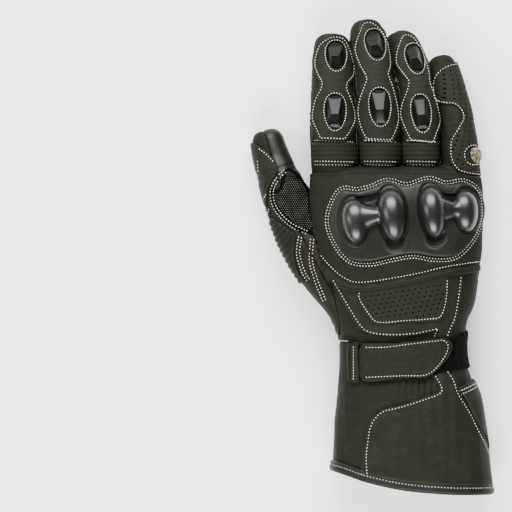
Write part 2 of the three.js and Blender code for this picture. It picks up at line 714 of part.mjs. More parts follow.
// Shield over the back of the wrist, with a perforated vent panel on it
const shieldPlan = [
  [-41, -17],
  [-23, -46.5],
  [-15, -50],
  [32, -51],
  [39, -26],
  [40.4, -13],
];
const ventPlan = [
  [-25.4, -26.4],
  [-20, -36],
  [-14, -41.8],
  [22, -40.6],
  [28, -38],
  [31, -18],
];
const underKnuckle = prism(knucklePlan.map(([x, y]) => [x, y - seamGap]), lowZ, highZ);
const shield = layer(body, seamGap, seamGap + 1.4).intersect(onBack(shieldPlan)).subtract(underKnuckle);
add("wrist_shield", "overlay_leather", shield);
const ventLow = seamGap + 1.4 + seamGap;
const vent = layer(body, ventLow, ventLow + 1.2).intersect(onBack(ventPlan)).subtract(underKnuckle);
add("back_vent_panel", "perforated_leather", vent);

// Wrist strap: a loop-tape base that runs round to the little-finger side, the strap over it, and its keeper
const tapePlan = [
  [-27, -58.5],
  [34, -53.2],
  [60, -50.5],
  [60, -72],
  [30, -74],
  [-27, -78],
];
const tapeUnder = prism([[30, -50.5], [60, -50.5], [60, -71], [30, -71]], 14, 40);
const tapeRegion = onBack(tapePlan, 24).add(tapeUnder);
const tape = layer(body, seamGap, seamGap + 1.2).intersect(tapeRegion);
add("strap_loop_tape", "loop_tape", tape.subtract(shield));
const strapPlan = [
  [-26.6, -57.8],
  [-9.7, -57.2],
  [30, -53],
  [33.3, -56.8],
  [32, -62.6],
  [26, -71.9],
  [18.6, -77.6],
  [-26.6, -79.4],
];
const strapLow = seamGap * 2 + 1.2;
const strapHigh = strapLow + 1.8;
const strap = layer(body, strapLow, strapHigh).intersect(onBack(strapPlan));
add("wrist_strap", "overlay_leather", strap);
const keeperOuter = [[-30, -55], [-23.4, -54.6], [-23.4, -81.6], [-30, -82]];
const keeperInner = [[-32, -56.4], [-21, -56], [-21, -80.2], [-32, -80.6]];
const keeperHigh = strapHigh + seamGap + 1.3;
const keeperTunnel = layer(body, -1, strapHigh + seamGap).intersect(prism(keeperInner, underTop, highZ));
const keeper = layer(body, seamGap, keeperHigh).intersect(onBack(keeperOuter)).subtract(keeperTunnel);
add("strap_keeper", "overlay_leather", keeper);

// Cuff overlay on the back, and the closing flap that wraps round the little-finger side to the palm
const cuffOverlayPlan = [
  [24.6, -82],
  [27.4, -86.8],
  [15.5, -92.4],
  [-10, -100],
  [-17.5, -107.5],
  [-20.6, -124],
  [-20.6, -160],
  [61, -160],
  [58.6, -136],
  [50.5, -112],
  [33.2, -82],
];
const cuffClip = aboveHem(bindingWide + seamGap);
const cuffOverlay = layer(body, seamGap, seamGap + 1.3)
  .intersect(onBack(cuffOverlayPlan))
  .intersect(cuffClip);
add("cuff_overlay", "overlay_leather", cuffOverlay);
const flapTop = [
  [38, -87],
  [52, -81],
  [75, -79],
  [75, -140],
  [60.2, -140],
  [58.4, -130],
  [51.4, -112],
];
const flapBottom = [
  [75, -79],
  [75, -140],
  [40, -135.5],
  [3, -131.5],
  [-18.5, -95.5],
  [24, -88.5],
  [52, -81],
];
const flapMiddle = 26; // height at which the upper outline gives way to the lower one
const flapSpace = prism(flapTop, flapMiddle, highZ).add(prism(flapBottom, lowZ, flapMiddle));
const flapLow = 0.6;
const flapHigh = 2.15;
const flap = layer(body, flapLow, flapHigh).intersect(flapSpace).intersect(cuffClip).subtract(cuffOverlay);
add("cuff_flap", "overlay_leather", flap);
const tabPlan = [[-1, -132], [-21.5, -98], [-28, -96], [-29, -108], [-17, -124], [-8, -131]];
const tabLow = 0.4;
const tabHigh = 1.8;
const tab = layer(body, tabLow, tabHigh).intersect(prism(tabPlan, lowZ, underTop)).intersect(cuffClip);
const flapShadow = prism([[2.4, -132], [-19, -96.4], [60, -60], [75, -140]], lowZ, underTop);
add("flap_tab", "loop_tape", tab.subtract(flapShadow));

// Palm side: heel pad, its teardrop patch and the grip patch
const heelPlan = [
  [-42.5, 4],
  [-38.5, 8],
  [-15, 9.4],
  [7, 7.6],
  [20, 12.4],
  [29, 21.6],
  [36, 40.4],
  [60, 42.5],
  [60, -20],
  [48, -38.4],
  [21, -38.4],
  [-28, -38.4],
  [-33, -36],
  [-38, -27],
];
const palmPadHigh = 1.9;
const teardropPlan = [
  [46, 4],
  [40, -2],
  [30, -12],
  [25.5, -20],
  [28, -27],
  [37, -31.5],
  [50, -32],
  [58, -20],
  [58, -4],
];
const teardropHolePlan = [
  [46, 4.6],
  [39.4, -2],
  [29.4, -12],
  [24.9, -20],
  [27.5, -27.5],
  [37, -32.1],
  [50, -32.6],
  [58.6, -20],
  [58.6, -4],
];
const gripThick = 1.1;
const palmLayer = layer(body, seamGap, palmPadHigh);
const thumbClear = thumbTube(seamGap + gripThick + seamGap);
const teardrop = palmLayer.intersect(prism(teardropPlan, lowZ, underTop));
const heelLayer = palmLayer.intersect(prism(heelPlan, lowZ, underTop));
const teardropHole = prism(teardropHolePlan, lowZ, underTop + 2);
add("heel_pad", "pad_leather", heelLayer.subtract(teardropHole).subtract(thumbClear));
add("heel_teardrop", "perforated_leather", teardrop.subtract(thumbClear));

const palmCarrier = (g) => unite([body(g), ...fingerOrder.map((n) => finger(n, g))]);
const gripPlan = [
  [-57, 92],
  [-40, 92],
  [-37.4, 67],
  [-33, 56],
  [-25, 62],
  [-20.5, 73.5],
  [-11.5, 72.5],
  [-8, 60],
  [-4.2, 57],
  [1.5, 74.5],
  [11, 73],
  [15.6, 58],
  [29, 42],
  [28, 34.6],
  [-17, 38],
  [-28, 33],
  [-35, 21],
  [-45, 17.5],
  [-60, 24],
];
const gripSides = aboveSeams(2.5);
const grip = layer(palmCarrier, seamGap, seamGap + gripThick)
  .intersect(prism(gripPlan, lowZ, 45))
  .subtract(gripSides)
  .subtract(thumbClear);
add("palm_grip_patch", "grip_mesh", grip);

// Thumb: the grip mesh carries on over the web, and a ribbed stretch panel runs down its outer side
const thumbGripPlan = [
  [-76.8, 42],
  [-72, 54],
  [-62, 50],
  [-50, 34],
  [-50, 12],
  [-57, 14.5],
  [-66, 18.5],
  [-76, 28],
];
const thumbGrip = layer(thumbTube, seamGap, seamGap + gripThick)
  .intersect(prism(thumbGripPlan, 22, highZ))
  .subtract(body(1));
add("thumb_grip_patch", "grip_mesh", thumbGrip);
const thumbRibs = { count: 8, from: 26, to: -14 };
const ribGroove = seamGap + 0.7;
const ribbedPlan = [[-95, 27], [-79, 23.4], [-66, 12.6], [-63, -2], [-58, -14.5], [-70, -22]];
const thumbRibbed = ribbedTube(thumb, thumbRibs.to, thumbRibs.from, thumbRibs.count, ribGroove, ribGroove + 1)
  .subtract(thumbTube(seamGap))
  .intersect(prism(ribbedPlan, 8, highZ))
  .subtract(body(seamGap + knucklePadThick));
add("thumb_ribbed_panel", "back_leather", thumbRibbed);
const thumbOverlayPlan = [
  [-100, 72],
  [-87, 69],
  [-80, 58],
  [-77.5, 40],
  [-80, 29],
  [-83.5, 26.5],
  [-100, 30],
];
const thumbOverlay = layer(thumbTube, seamGap, seamGap + overlayThick - 0.2)
  .intersect(prism(thumbOverlayPlan, 6, highZ));
add("thumb_overlay", "overlay_leather", thumbOverlay);

// The scene graph: one named mesh for each piece, centred over its footprint
const finishes = {
  back_leather: { color: 0x2c2d28, roughness: 0.62, metalness: 0 },
  palm_leather: { color: 0x1b1a15, roughness: 0.48, metalness: 0 },
  overlay_leather: { color: 0x30322d, roughness: 0.6, metalness: 0 },
  perforated_leather: { color: 0x2b2c27, roughness: 0.66, metalness: 0 },
  pad_leather: { color: 0x2a2c27, roughness: 0.6, metalness: 0 },
  grip_mesh: { color: 0x1c1c1a, roughness: 0.8, metalness: 0 },
  loop_tape: { color: 0x0f0c0b, roughness: 0.95, metalness: 0 },
  binding: { color: 0x23241f, roughness: 0.6, metalness: 0 },
  guard_satin: { color: 0x39403c, roughness: 0.42, metalness: 0 },
  guard_gloss: { color: 0x15181a, roughness: 0.12, metalness: 0 },
  stud_plastic: { color: 0x2c2d29, roughness: 0.2, metalness: 0 },
  badge_metal: { color: 0x9a9474, roughness: 0.35, metalness: 0.9 },
};
const glove = new THREE.Group();
glove.name = "motorcycle_glove";
for (const { name, slot, solid } of pieces) {
  const finish = new THREE.MeshStandardMaterial({ name: slot, ...finishes[slot] });
  const mesh = new THREE.Mesh(geometryOf(solid), finish);
  mesh.name = name;
  glove.add(mesh);
}
const bounds = new THREE.Box3().setFromObject(glove);
const centre = bounds.getCenter(new THREE.Vector3());
glove.position.set(-centre.x, -centre.y, -bounds.min.z);

export default glove;
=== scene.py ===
import bpy, bmesh, math, json
from functools import reduce
import numpy as np
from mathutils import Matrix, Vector
from mathutils.bvhtree import BVHTree
from mathutils.kdtree import KDTree

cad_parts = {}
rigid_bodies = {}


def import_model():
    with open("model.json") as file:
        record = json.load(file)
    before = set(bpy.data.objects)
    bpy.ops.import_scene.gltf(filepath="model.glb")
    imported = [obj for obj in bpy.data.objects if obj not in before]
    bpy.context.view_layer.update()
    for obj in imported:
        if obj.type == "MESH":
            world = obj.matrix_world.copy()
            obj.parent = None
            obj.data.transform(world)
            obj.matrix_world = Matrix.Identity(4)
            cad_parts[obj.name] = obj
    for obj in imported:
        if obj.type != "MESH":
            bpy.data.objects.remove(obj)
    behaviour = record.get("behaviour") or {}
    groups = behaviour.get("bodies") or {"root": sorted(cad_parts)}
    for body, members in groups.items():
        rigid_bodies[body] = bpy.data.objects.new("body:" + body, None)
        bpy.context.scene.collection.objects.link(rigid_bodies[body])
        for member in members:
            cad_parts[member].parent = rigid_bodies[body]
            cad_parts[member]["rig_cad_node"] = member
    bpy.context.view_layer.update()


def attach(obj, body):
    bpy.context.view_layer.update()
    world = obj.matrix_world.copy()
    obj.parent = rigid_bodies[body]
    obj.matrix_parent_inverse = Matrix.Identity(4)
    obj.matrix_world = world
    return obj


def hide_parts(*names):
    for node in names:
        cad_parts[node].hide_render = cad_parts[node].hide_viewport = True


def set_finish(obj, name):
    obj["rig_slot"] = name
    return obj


# Right-hand gauntlet glove, palm down. All tables are pattern millimetres, moved to the frame by gloveShift.
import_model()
gloveShift = np.array([15.803, 0.139, -0.6])

skin = dict(voxel=1.22, wall=2.0, topPower=2.5, palmPower=3.2, tubePower=2.3, seamGap=0.3, seamRound=0.9,
            restZ=0.88)
far = 999.0  # millimetres, beyond every point of the glove
noneNear = 9.0  # millimetres to an edge, a hole or a stitch row where there is none near

bodyTable = np.array([  # y, left, right, low, high, height of the side seam
    (-168, -44.6, 62.0, 2.2, 54.6, 27), (-150, -43.8, 60.0, 2.2, 54.2, 26.8),
    (-130, -42.2, 57.6, 2.2, 53.2, 26.5),
    (-105, -40.4, 54.2, 2.3, 51.2, 25.8), (-88, -39.0, 51.2, 2.6, 49, 25.2),
    (-80, -38.4, 48.6, 3.2, 47.4, 24.9),
    (-70, -37.8, 44.6, 4, 45.6, 24.4), (-56, -38, 43.2, 4.5, 45, 24.1), (-44, -41, 44.0, 2.8, 46, 24.2),
    (-30, -46.5, 49.2, 2, 47.5, 24.5), (-12, -51.5, 52.0, 2, 49, 24.8), (10, -55, 53.0, 2.8, 50.2, 25.7),
    (44, -55.5, 52.8, 11, 47, 28.1), (52, -54.6, 52, 15.5, 44, 28.8), (56.5, -52.5, 50.5, 20, 39, 29.2)])
tubeTables = dict(  # x, y, z, half width, half height
    index=[(-40.7, 34, 29.4, 14, 12.4), (-41.2, 60, 29.4, 14.1, 12.5), (-42.3, 82, 28.5, 13.9, 12.4),
           (-42.8, 102, 24.5, 13.4, 12), (-42.6, 120, 17.5, 12.6, 11.4), (-42.6, 132, 11.3, 11.6, 10.8)],
    middle=[(-11.7, 34, 29.8, 11.7, 12.4), (-12, 60, 30, 12.1, 12.5), (-12.6, 84, 30, 12.7, 12.4),
            (-13.8, 106, 26, 12.8, 12), (-17.2, 128, 17.5, 12.1, 11.4), (-19.4, 141, 11.3, 11.2, 10.8)],
    ring=[(14.5, 34, 29.5, 11.5, 12.2), (14.5, 60, 29.5, 11.6, 12.2), (14, 82, 29, 11.9, 12),
          (12.2, 102, 25, 11.6, 11.6), (7.2, 122, 17, 11, 11), (3, 134, 10.9, 10.4, 10.4)],
    little=[(40.2, 34, 28.8, 11.2, 11.6), (40, 58, 28.6, 11.2, 11.6), (38.6, 76, 27, 10.7, 11.2),
            (35.6, 94, 22, 10.3, 10.8), (31.4, 110, 14.8, 9.8, 10.2), (29, 120, 10.1, 9.2, 9.6)],
    thumb=[(-30, -54, 24, 7.5, 11), (-35.5, -34, 24, 10.4, 14), (-48, -10, 23, 15.8, 16.6),
           (-58, 9, 22, 17.2, 16.4), (-66.3, 27, 20, 16, 15.2), (-73.5, 44, 17, 14.1, 13.6),
           (-79.5, 62, 13, 11.8, 11.8), (-82, 71, 11.5, 10.8, 11)])
tipLength = dict(index=10.5, middle=11, ring=10.5, little=9, thumb=10.5)
fingerOrder = ["index", "middle", "ring", "little"]
hemTable = np.array([(-80, -133.5), (-55, -135), (-43, -136.6), (-20, -143.6), (0, -148), (30, -151),
                     (60, -151.6), (90, -152)])


# numbers: smooth tables, arcs and noise
def smoothColumn(keys, values, at):  # cubic through a table, with slopes from its neighbours
    keys, values, at = np.asarray(keys, float), np.asarray(values, float), np.clip(at, keys[0], keys[-1])
    slope = np.gradient(values, keys)
    i = np.clip(np.searchsorted(keys, at, side="right") - 1, 0, len(keys) - 2)
    h = keys[i + 1] - keys[i]
    t = (at - keys[i]) / h
    return ((1 + 2 * t) * (1 - t) ** 2 * values[i] + t * (1 - t) ** 2 * h * slope[i]
            + t * t * (3 - 2 * t) * values[i + 1] + t * t * (t - 1) * h * slope[i + 1])


def bodyAt(y):  # left, right, low, high and seam height at y
    return [smoothColumn(bodyTable[:, 0], bodyTable[:, c], y) for c in range(1, 6)]


def hemAt(x):
    return smoothColumn(hemTable[:, 0], hemTable[:, 1], x)


def ease(x, a=0.0, b=1.0):  # smooth step from a to b
    t = np.clip((x - a) / (b - a), 0, 1)
    return t * t * (3 - 2 * t)


def bell(x, centre, width):
    return np.exp(-(((x - centre) / width) ** 2))


def power(v, p):
    return np.sign(v) * np.abs(v) ** p


def least(*fields):  # the smallest of several fields, point by point
    return reduce(np.minimum, fields)


def latticeValue(i, j, k, seed):  # a repeatable number for a cell, -1 to 1
    h = (i * 374761393 + j * 668265263 + k * 2147483647 + seed * 974711) & 0xFFFFFFFF
    h = ((h ^ (h >> 13)) * 1274126177) & 0xFFFFFFFF
    return ((h ^ (h >> 16)) & 0xFFFF) / 32767.5 - 1


def noise(points, size, seed=0):  # value noise, -1 to 1, one lump in about size millimetres
    p = points / np.asarray(size, float)
    cell = np.floor(p).astype(np.int64)
    f = p - cell
    f = f * f * (3 - 2 * f)
    total = 0
    for dx in (0, 1):
        for dy in (0, 1):
            for dz in (0, 1):
                weight = np.abs(1 - dx - f[:, 0]) * np.abs(1 - dy - f[:, 1]) * np.abs(1 - dz - f[:, 2])
                total = total + weight * latticeValue(cell[:, 0] + dx, cell[:, 1] + dy, cell[:, 2] + dz, seed)
    return total


# Patches: triangles with points, normals and named numbers at each point
class Patch:
    def __init__(self, points, faces, **values):
        self.points, self.faces, self.values = np.asarray(points, float), np.asarray(faces, int), values

    def copy(self):
        return Patch(self.points.copy(), self.faces.copy(), **{k: v.copy() for k, v in self.values.items()})

    def only(self, faces):  # these faces, with the points that they use
        used, inverse = np.unique(faces, return_inverse=True)
        return Patch(self.points[used], inverse.reshape(-1, 3),
                     **{k: v[used] for k, v in self.values.items()})

    def facesWhere(self, keep):  # the part whose faces have a point that is wanted
        return self.only(self.faces[keep[self.faces].any(axis=1)])

    def within(self, **limits):  # the part where each named value lies between its two limits
        keep = np.ones(len(self.points), bool)
        for key, (low, high) in limits.items():
            value = self.points[:, "x z".index(key)] if key in ("x", "z") else self.values[key]
            keep &= (value > low) & (value < high)
        return self.facesWhere(keep)

    def outward(self):  # the skin's normals that the patch carries, at length one
        way = self.values["normal"]
        return way / np.maximum(np.linalg.norm(way, axis=1, keepdims=True), 1e-9)

    def normals(self):
        corner = self.points[self.faces]
        face = np.cross(corner[:, 1] - corner[:, 0], corner[:, 2] - corner[:, 0])
        total = np.zeros_like(self.points)
        for i in range(3):
            np.add.at(total, self.faces[:, i], face)
        return total / np.maximum(np.linalg.norm(total, axis=1, keepdims=True), 1e-12)

    # cuts the triangles along field = 0; the side below goes unless it is kept
    def slice(self, field, keepBelow=False):
        field = np.where(np.abs(field) < 1e-3, 1e-3, field)
        above = field > 0
        count = above[self.faces].sum(axis=1)
        kept = [self.faces[count == 3]] + ([self.faces[count == 0]] if keepBelow else [])
        mixed = {n: self.faces[count == n] for n in (1, 2)}
        for n, faces in mixed.items():  # turn each so that the odd corner comes first
            odd = np.argmax(above[faces] == (n == 1), axis=1)
            rows = np.arange(len(faces))
            mixed[n] = np.stack([faces[rows, (odd + k) % 3] for k in range(3)], axis=1)
        crossing = np.concatenate([np.concatenate([f[:, [0, 1]], f[:, [0, 2]]]) for f in mixed.values()])
        if not len(crossing):
            faces = np.concatenate(kept)
            return self if keepBelow else Patch(self.points, faces, **self.values).tidy()
        unique, inverse = np.unique(np.sort(crossing, axis=1), axis=0, return_inverse=True)
        a, b = unique[:, 0], unique[:, 1]
        t = (field[a] / (field[a] - field[b]))[:, None]

        def between(v):
            share = t if v.ndim > 1 else t[:, 0]
            return np.concatenate([v, v[a] * (1 - share) + v[b] * share])

        one, two = mixed[1], mixed[2]
        inverse = inverse.reshape(-1) + len(self.points)
        e01, e02, g01, g02 = np.split(inverse, np.cumsum([len(one), len(one), len(two)]))
        corners = [(one[:, 0], e01, e02), (g01, two[:, 1], two[:, 2]), (g01, two[:, 2], g02)]
        if keepBelow:
            corners += [(two[:, 0], g01, g02), (e01, one[:, 1], one[:, 2]), (e01, one[:, 2], e02)]
        kept += [np.stack(corner, axis=1) for corner in corners]
        made = Patch(between(self.points), np.concatenate(kept),
                     **{k: between(v) for k, v in self.values.items()})
        return made.tidy()

    def tidy(self):  # without the triangles that have lost a corner
        a, b, c = self.faces.T
        return self.only(self.faces[(a != b) & (b != c) & (a != c)])

    def weld(self, reach):  # joins points closer than reach, so that no needle triangles stay
        cell = np.round(self.points / reach).astype(np.int64)
        _, first, inverse = np.unique(cell, axis=0, return_index=True, return_inverse=True)
        values = {key: v[first] for key, v in self.values.items()}
        return Patch(self.points[first], inverse.reshape(-1)[self.faces], **values).tidy()

    def biggest(self, share):  # drops crumbs: islands with under a share of the largest one's faces
        parent = np.arange(len(self.points))
        for _ in range(200):
            low = parent[self.faces].min(axis=1)
            before = parent.copy()
            for i in range(3):
                np.minimum.at(parent, self.faces[:, i], low)
            parent = parent[parent]
            if (parent == before).all():
                break
        label = parent[self.faces[:, 0]]
        names, counts = np.unique(label, return_counts=True)
        good = names[counts >= counts.max() * share]
        return Patch(self.points, self.faces[np.isin(label, good)], **self.values).tidy()

    def refined(self):  # each triangle into four
        unique, inverse = np.unique(np.sort(edgesOf(self.faces), axis=1), axis=0, return_inverse=True)
        inverse = inverse.reshape(-1) + len(self.points)
        n = len(self.faces)
        ab, bc, ca = inverse[:n], inverse[n:2 * n], inverse[2 * n:]
        a, b, c = self.faces.T
        quarters = ((a, ab, ca), (b, bc, ab), (c, ca, bc), (ab, bc, ca))
        faces = np.concatenate([np.stack(corners, axis=1) for corners in quarters])

        def halfway(v):
            return np.concatenate([v, (v[unique[:, 0]] + v[unique[:, 1]]) / 2])

        return Patch(halfway(self.points), faces, **{k: halfway(v) for k, v in self.values.items()})


def edgesOf(faces):
    return np.concatenate([faces[:, [0, 1]], faces[:, [1, 2]], faces[:, [2, 0]]])


def boundaryOf(faces):  # directed edges that no other face shares
    edges = edgesOf(faces)
    code = edges[:, 0] * (faces.max() + 1) + edges[:, 1]
    back = edges[:, 1] * (faces.max() + 1) + edges[:, 0]
    return edges[~np.isin(code, back)]


def linked(name, data):  # a new object in the scene, at the origin
    made = bpy.data.objects.new(name, data)
    bpy.context.scene.collection.objects.link(made)
    return made


def addNumbers(mesh, key, numbers, kind="FLOAT", field="value"):
    made = mesh.attributes.new(key, kind, "POINT")
    made.data.foreach_set(field, np.ascontiguousarray(numbers, dtype=np.float32).reshape(-1))


def meshFrom(name, points, faces, values=None):  # a piece at the origin, its place in its mesh
    mesh = bpy.data.meshes.new(name)
    faces = faces.tolist() if isinstance(faces, np.ndarray) else faces
    mesh.from_pydata(((points + gloveShift) / 1000).tolist(), [], faces)
    for key, numbers in (values or {}).items():
        addNumbers(mesh, key, numbers)
    mesh.validate()
    mesh.update()
    mesh.shade_smooth()
    return linked(name, mesh)


def walled(name, top, normal, drop):  # closes an open patch with an underside and a rim
    count = len(top.points)
    under = top.points - normal * (drop if np.isscalar(drop) else np.asarray(drop)[:, None])
    under[:, 2] = np.maximum(under[:, 2], skin["restZ"] + 0.3)
    edges = boundaryOf(top.faces)
    a, b = edges[:, 0], edges[:, 1]
    rim = np.concatenate([np.stack([b, a, a + count], axis=1), np.stack([b, a + count, b + count], axis=1)])
    faces = np.concatenate([top.faces, top.faces[:, ::-1] + count, rim])
    values = {k: np.concatenate([v, v]) for k, v in top.values.items() if k in ("edge", "stitch", "shade")}
    return meshFrom(name, np.concatenate([top.points, under]), faces, values)


# The whole skin: lofts for the hand and each finger, fused at a fine voxel size
def loftFaces(rings, sides):
    r, k = np.meshgrid(np.arange(rings - 1), np.arange(sides), indexing="ij")
    a, b = r * sides + k, r * sides + (k + 1) % sides
    quads = np.stack([a, b, b + sides, a + sides], axis=-1).reshape(-1, 4).tolist()
    return quads + [list(range(sides))[::-1], list(range((rings - 1) * sides, rings * sides))]


def bodyLoft(sides=112):
    rings = []
    for y in np.concatenate([np.arange(-167, 50, 2.5), np.arange(50, 57.1, 1.0)]):
        left, right, low, high, seam = bodyAt(y)
        angle = np.arange(sides) / sides * 2 * np.pi
        c, s = np.cos(angle), np.sin(angle)
        p = np.where(s >= 0, 2 / skin["topPower"], 2 / skin["palmPower"])
        tall = np.where(s >= 0, high - seam, seam - low)
        closing = 1 - 0.25 * ease(y, 55.5, 57.5)
        x = (left + right) / 2 + (right - left) / 2 * power(c, p) * closing
        rings.append(np.stack([x, np.full(sides, y), seam + tall * power(s, p) * closing], axis=1))
    return rings, sides


class Tube:  # a finger or the thumb: its centre line, and where a point lies around it
    def __init__(self, name):
        rows = np.array(tubeTables[name], float)
        self.name, self.tip = name, tipLength[name]
        span = np.concatenate([[0], np.cumsum(np.linalg.norm(np.diff(rows[:, :2], axis=0), axis=1))])
        self.length = span[-1]
        overrun = 30.0  # the line runs on this far past the last row, for points beyond the tip
        end = rows[-1] + (rows[-1] - rows[-2]) / (span[-1] - span[-2]) * overrun
        end[2:] = rows[-1][2] - 1.5, rows[-1][3], rows[-1][4]
        self.steps = np.linspace(0, self.length + 25, 320)
        inside = self.steps <= self.length
        past = self.steps - self.length
        self.lines = np.stack([np.where(inside, smoothColumn(span, rows[:, c], self.steps),
                                        rows[-1][c] + (end[c] - rows[-1][c]) * past / overrun)
                               for c in range(5)], axis=1)
        way = np.gradient(self.lines[:, :3], axis=0)
        self.way = way / np.linalg.norm(way, axis=1, keepdims=True)

    def rings(self, sides=44):
        made = []
        full = int((self.steps <= self.length).sum())
        for i in list(range(0, full, 5)) + [full - 1]:
            made.append(self.ring(self.lines[i, :3], self.way[i], self.lines[i, 3], self.lines[i, 4], sides))
        way = self.way[full - 3] * (1, 1, 0.35)
        way /= np.linalg.norm(way)
        for t in np.linspace(0.12, 0.985, 11):
            size = math.cos(t * math.pi / 2) ** 0.62
            made.append(self.ring(self.lines[full - 1, :3] + way * self.tip * math.sin(t * math.pi / 2), way,
                                  self.lines[full - 1, 3] * size, self.lines[full - 1, 4] * size, sides))
        return made, sides

    def ring(self, centre, way, wide, tall, sides):
        side = np.cross(way, (0, 0, 1))
        side /= np.linalg.norm(side)
        up = np.cross(side, way)
        angle = (np.arange(sides) + 0.5) / sides * 2 * np.pi
        p = 2 / skin["tubePower"]
        c, s = power(np.cos(angle), p)[:, None], power(np.sin(angle), p)[:, None]
        return centre + c * side * wide + s * up * tall

    def place(self, points):  # along the tube, across it, above its middle, half width and half height
        flat = self.lines[:, :2]
        step = np.empty(len(points), int)
        for i in range(0, len(points), 20000):
            part = points[i:i + 20000, :2]
            step[i:i + 20000] = ((part[:, None, :] - flat[None]) ** 2).sum(axis=2).argmin(axis=1)
        line, way = self.lines[step], self.way[step]
        flatWay = way[:, :2] / np.linalg.norm(way[:, :2], axis=1, keepdims=True)
        off = points[:, :2] - line[:, :2]
        across = off[:, 0] * flatWay[:, 1] - off[:, 1] * flatWay[:, 0]
        along = self.steps[step] + off[:, 0] * flatWay[:, 0] + off[:, 1] * flatWay[:, 1]
        pitch = np.sqrt(1 - way[:, 2] ** 2)
        return along, across, (points[:, 2] - line[:, 2]) * pitch, line[:, 3], line[:, 4]

    def around(self, points):  # arc length from the tube's top, + to the right, and the length along it
        along, across, above, wide, tall = self.place(points)
        p = skin["tubePower"] / 2
        u, w = across / wide, above / tall
        # the tip is mapped as it looks from above
        onTip = ease(along, self.length - 1, self.length + 1) * (above > 0)
        w = w * (1 - onTip) + onTip * (1 - np.minimum(np.abs(u), 1) ** (2 * p)) ** (0.5 / p)
        angle = np.arctan2(power(u, p), power(w, p))
        return np.stack([np.interp(angle, arcAngles, tubeArc) * (wide + tall) / 2, along], axis=1)

    def fromAbove(self, plan):  # the same for points of a plan outline, on the upper side
        plan = np.asarray(plan, float)
        along, across, _, wide, tall = self.place(np.column_stack([plan, np.zeros(len(plan))]))
        u = np.clip(across / wide, -0.9995, 0.9995)
        w = (1 - np.abs(u) ** skin["tubePower"]) ** (1 / skin["tubePower"])
        p = skin["tubePower"] / 2
        angle = np.arctan2(power(u, p), power(w, p))
        beyond = np.maximum(np.abs(across) - wide, 0) * np.sign(across)
        arc = np.interp(angle, arcAngles, tubeArc) * (wide + tall) / 2
        return np.stack([arc + beyond * 2.5, along], axis=1)


arcAngles = np.linspace(-np.pi, np.pi, 361)


# arc length from the top of a rounded section
def arcOf(widePower, wide=1.0, up=1.0, down=1.0, downPower=None):
    lower = np.abs(arcAngles) > np.pi / 2
    p = np.where(lower, 2 / (downPower or widePower), 2 / widePower)
    x, z = wide * power(np.sin(arcAngles), p), np.where(lower, down, up) * power(np.cos(arcAngles), p)
    s = np.concatenate([[0], np.cumsum(np.hypot(np.diff(x), np.diff(z)))])
    return s - s[180]


tubeArc = arcOf(skin["tubePower"])
tubes = {name: Tube(name) for name in tubeTables}

bodyRowsY = np.arange(-168, 60, 4.0)
bodyArcs = []
for y in bodyRowsY:
    left, right, low, high, seam = bodyAt(y)
    bodyArcs.append(arcOf(skin["topPower"], (right - left) / 2, high - seam, seam - low, skin["palmPower"]))
bodyArcs = np.array(bodyArcs)


def bodyPlace(points):  # across and above in half sizes, and the angle from the top
    left, right, low, high, seam = bodyAt(points[:, 1])
    u = (points[:, 0] - (left + right) / 2) / ((right - left) / 2)
    w = points[:, 2] - seam
    w = np.where(w > 0, w / (high - seam), w / (seam - low))
    p = np.where(w > 0, skin["topPower"], skin["palmPower"])
    rho = (np.abs(u) ** p + np.abs(w) ** p) ** (1 / p)
    return u, w, rho, np.arctan2(power(u, p / 2), power(w, p / 2))


def bodyArcLength(y, angle):
    i = np.clip((y - bodyRowsY[0]) / 4.0, 0, len(bodyRowsY) - 1.001)
    j = np.clip((angle + np.pi) / (2 * np.pi) * 360, 0, 359.999)
    i0, j0 = i.astype(int), j.astype(int)
    fi, fj = i - i0, j - j0
    return ((1 - fi) * ((1 - fj) * bodyArcs[i0, j0] + fj * bodyArcs[i0, j0 + 1])
            + fi * ((1 - fj) * bodyArcs[i0 + 1, j0] + fj * bodyArcs[i0 + 1, j0 + 1]))


def bodyAround(points):  # arc length round the hand from the middle of its back, and y
    angle = bodyPlace(points)[3]
    return np.stack([bodyArcLength(points[:, 1], angle), points[:, 1]], axis=1)


def bodyFromPlan(plan, palm=False):
    plan = np.asarray(plan, float)
    left, right, low, high, seam = bodyAt(plan[:, 1])
    wide = (right - left) / 2
    off = plan[:, 0] - (left + right) / 2
    u = np.clip(off / wide, -0.9995, 0.9995)
    p = skin["palmPower"] if palm else skin["topPower"]
    w = (1 - np.abs(u) ** p) ** (1 / p) * (-1 if palm else 1)
    angle = np.arctan2(power(u, p / 2), power(w, p / 2))
    beyond = np.maximum(np.abs(off) - wide, 0) * np.sign(off)
    return np.stack([bodyArcLength(plan[:, 1], angle) + beyond * 2.5, plan[:, 1]], axis=1)


def remeshed(name, lofts, voxel, smoothing=6):
    points, faces = [], []
    for rings, sides in lofts:
        base = sum(len(p) for p in points)
        points.append(np.concatenate(rings))
        faces += [[v + base for v in f] for f in loftFaces(len(rings), sides)]
    piece = meshFrom(name, np.concatenate(points), faces)
    bpy.context.view_layer.objects.active = piece
    corners = [[piece.data.vertices[v].co for v in p.vertices[:3]] for p in piece.data.polygons]
    if sum(a.dot((b - a).cross(c - a)) for a, b, c in corners) < 0:
        piece.data.flip_normals()
    remesh = piece.modifiers.new("fuse", "REMESH")
    remesh.mode, remesh.voxel_size, remesh.adaptivity = "VOXEL", voxel / 1000, 0
    smooth = piece.modifiers.new("soften", "SMOOTH")
    smooth.factor, smooth.iterations = 0.5, smoothing
    return asPatch(piece)


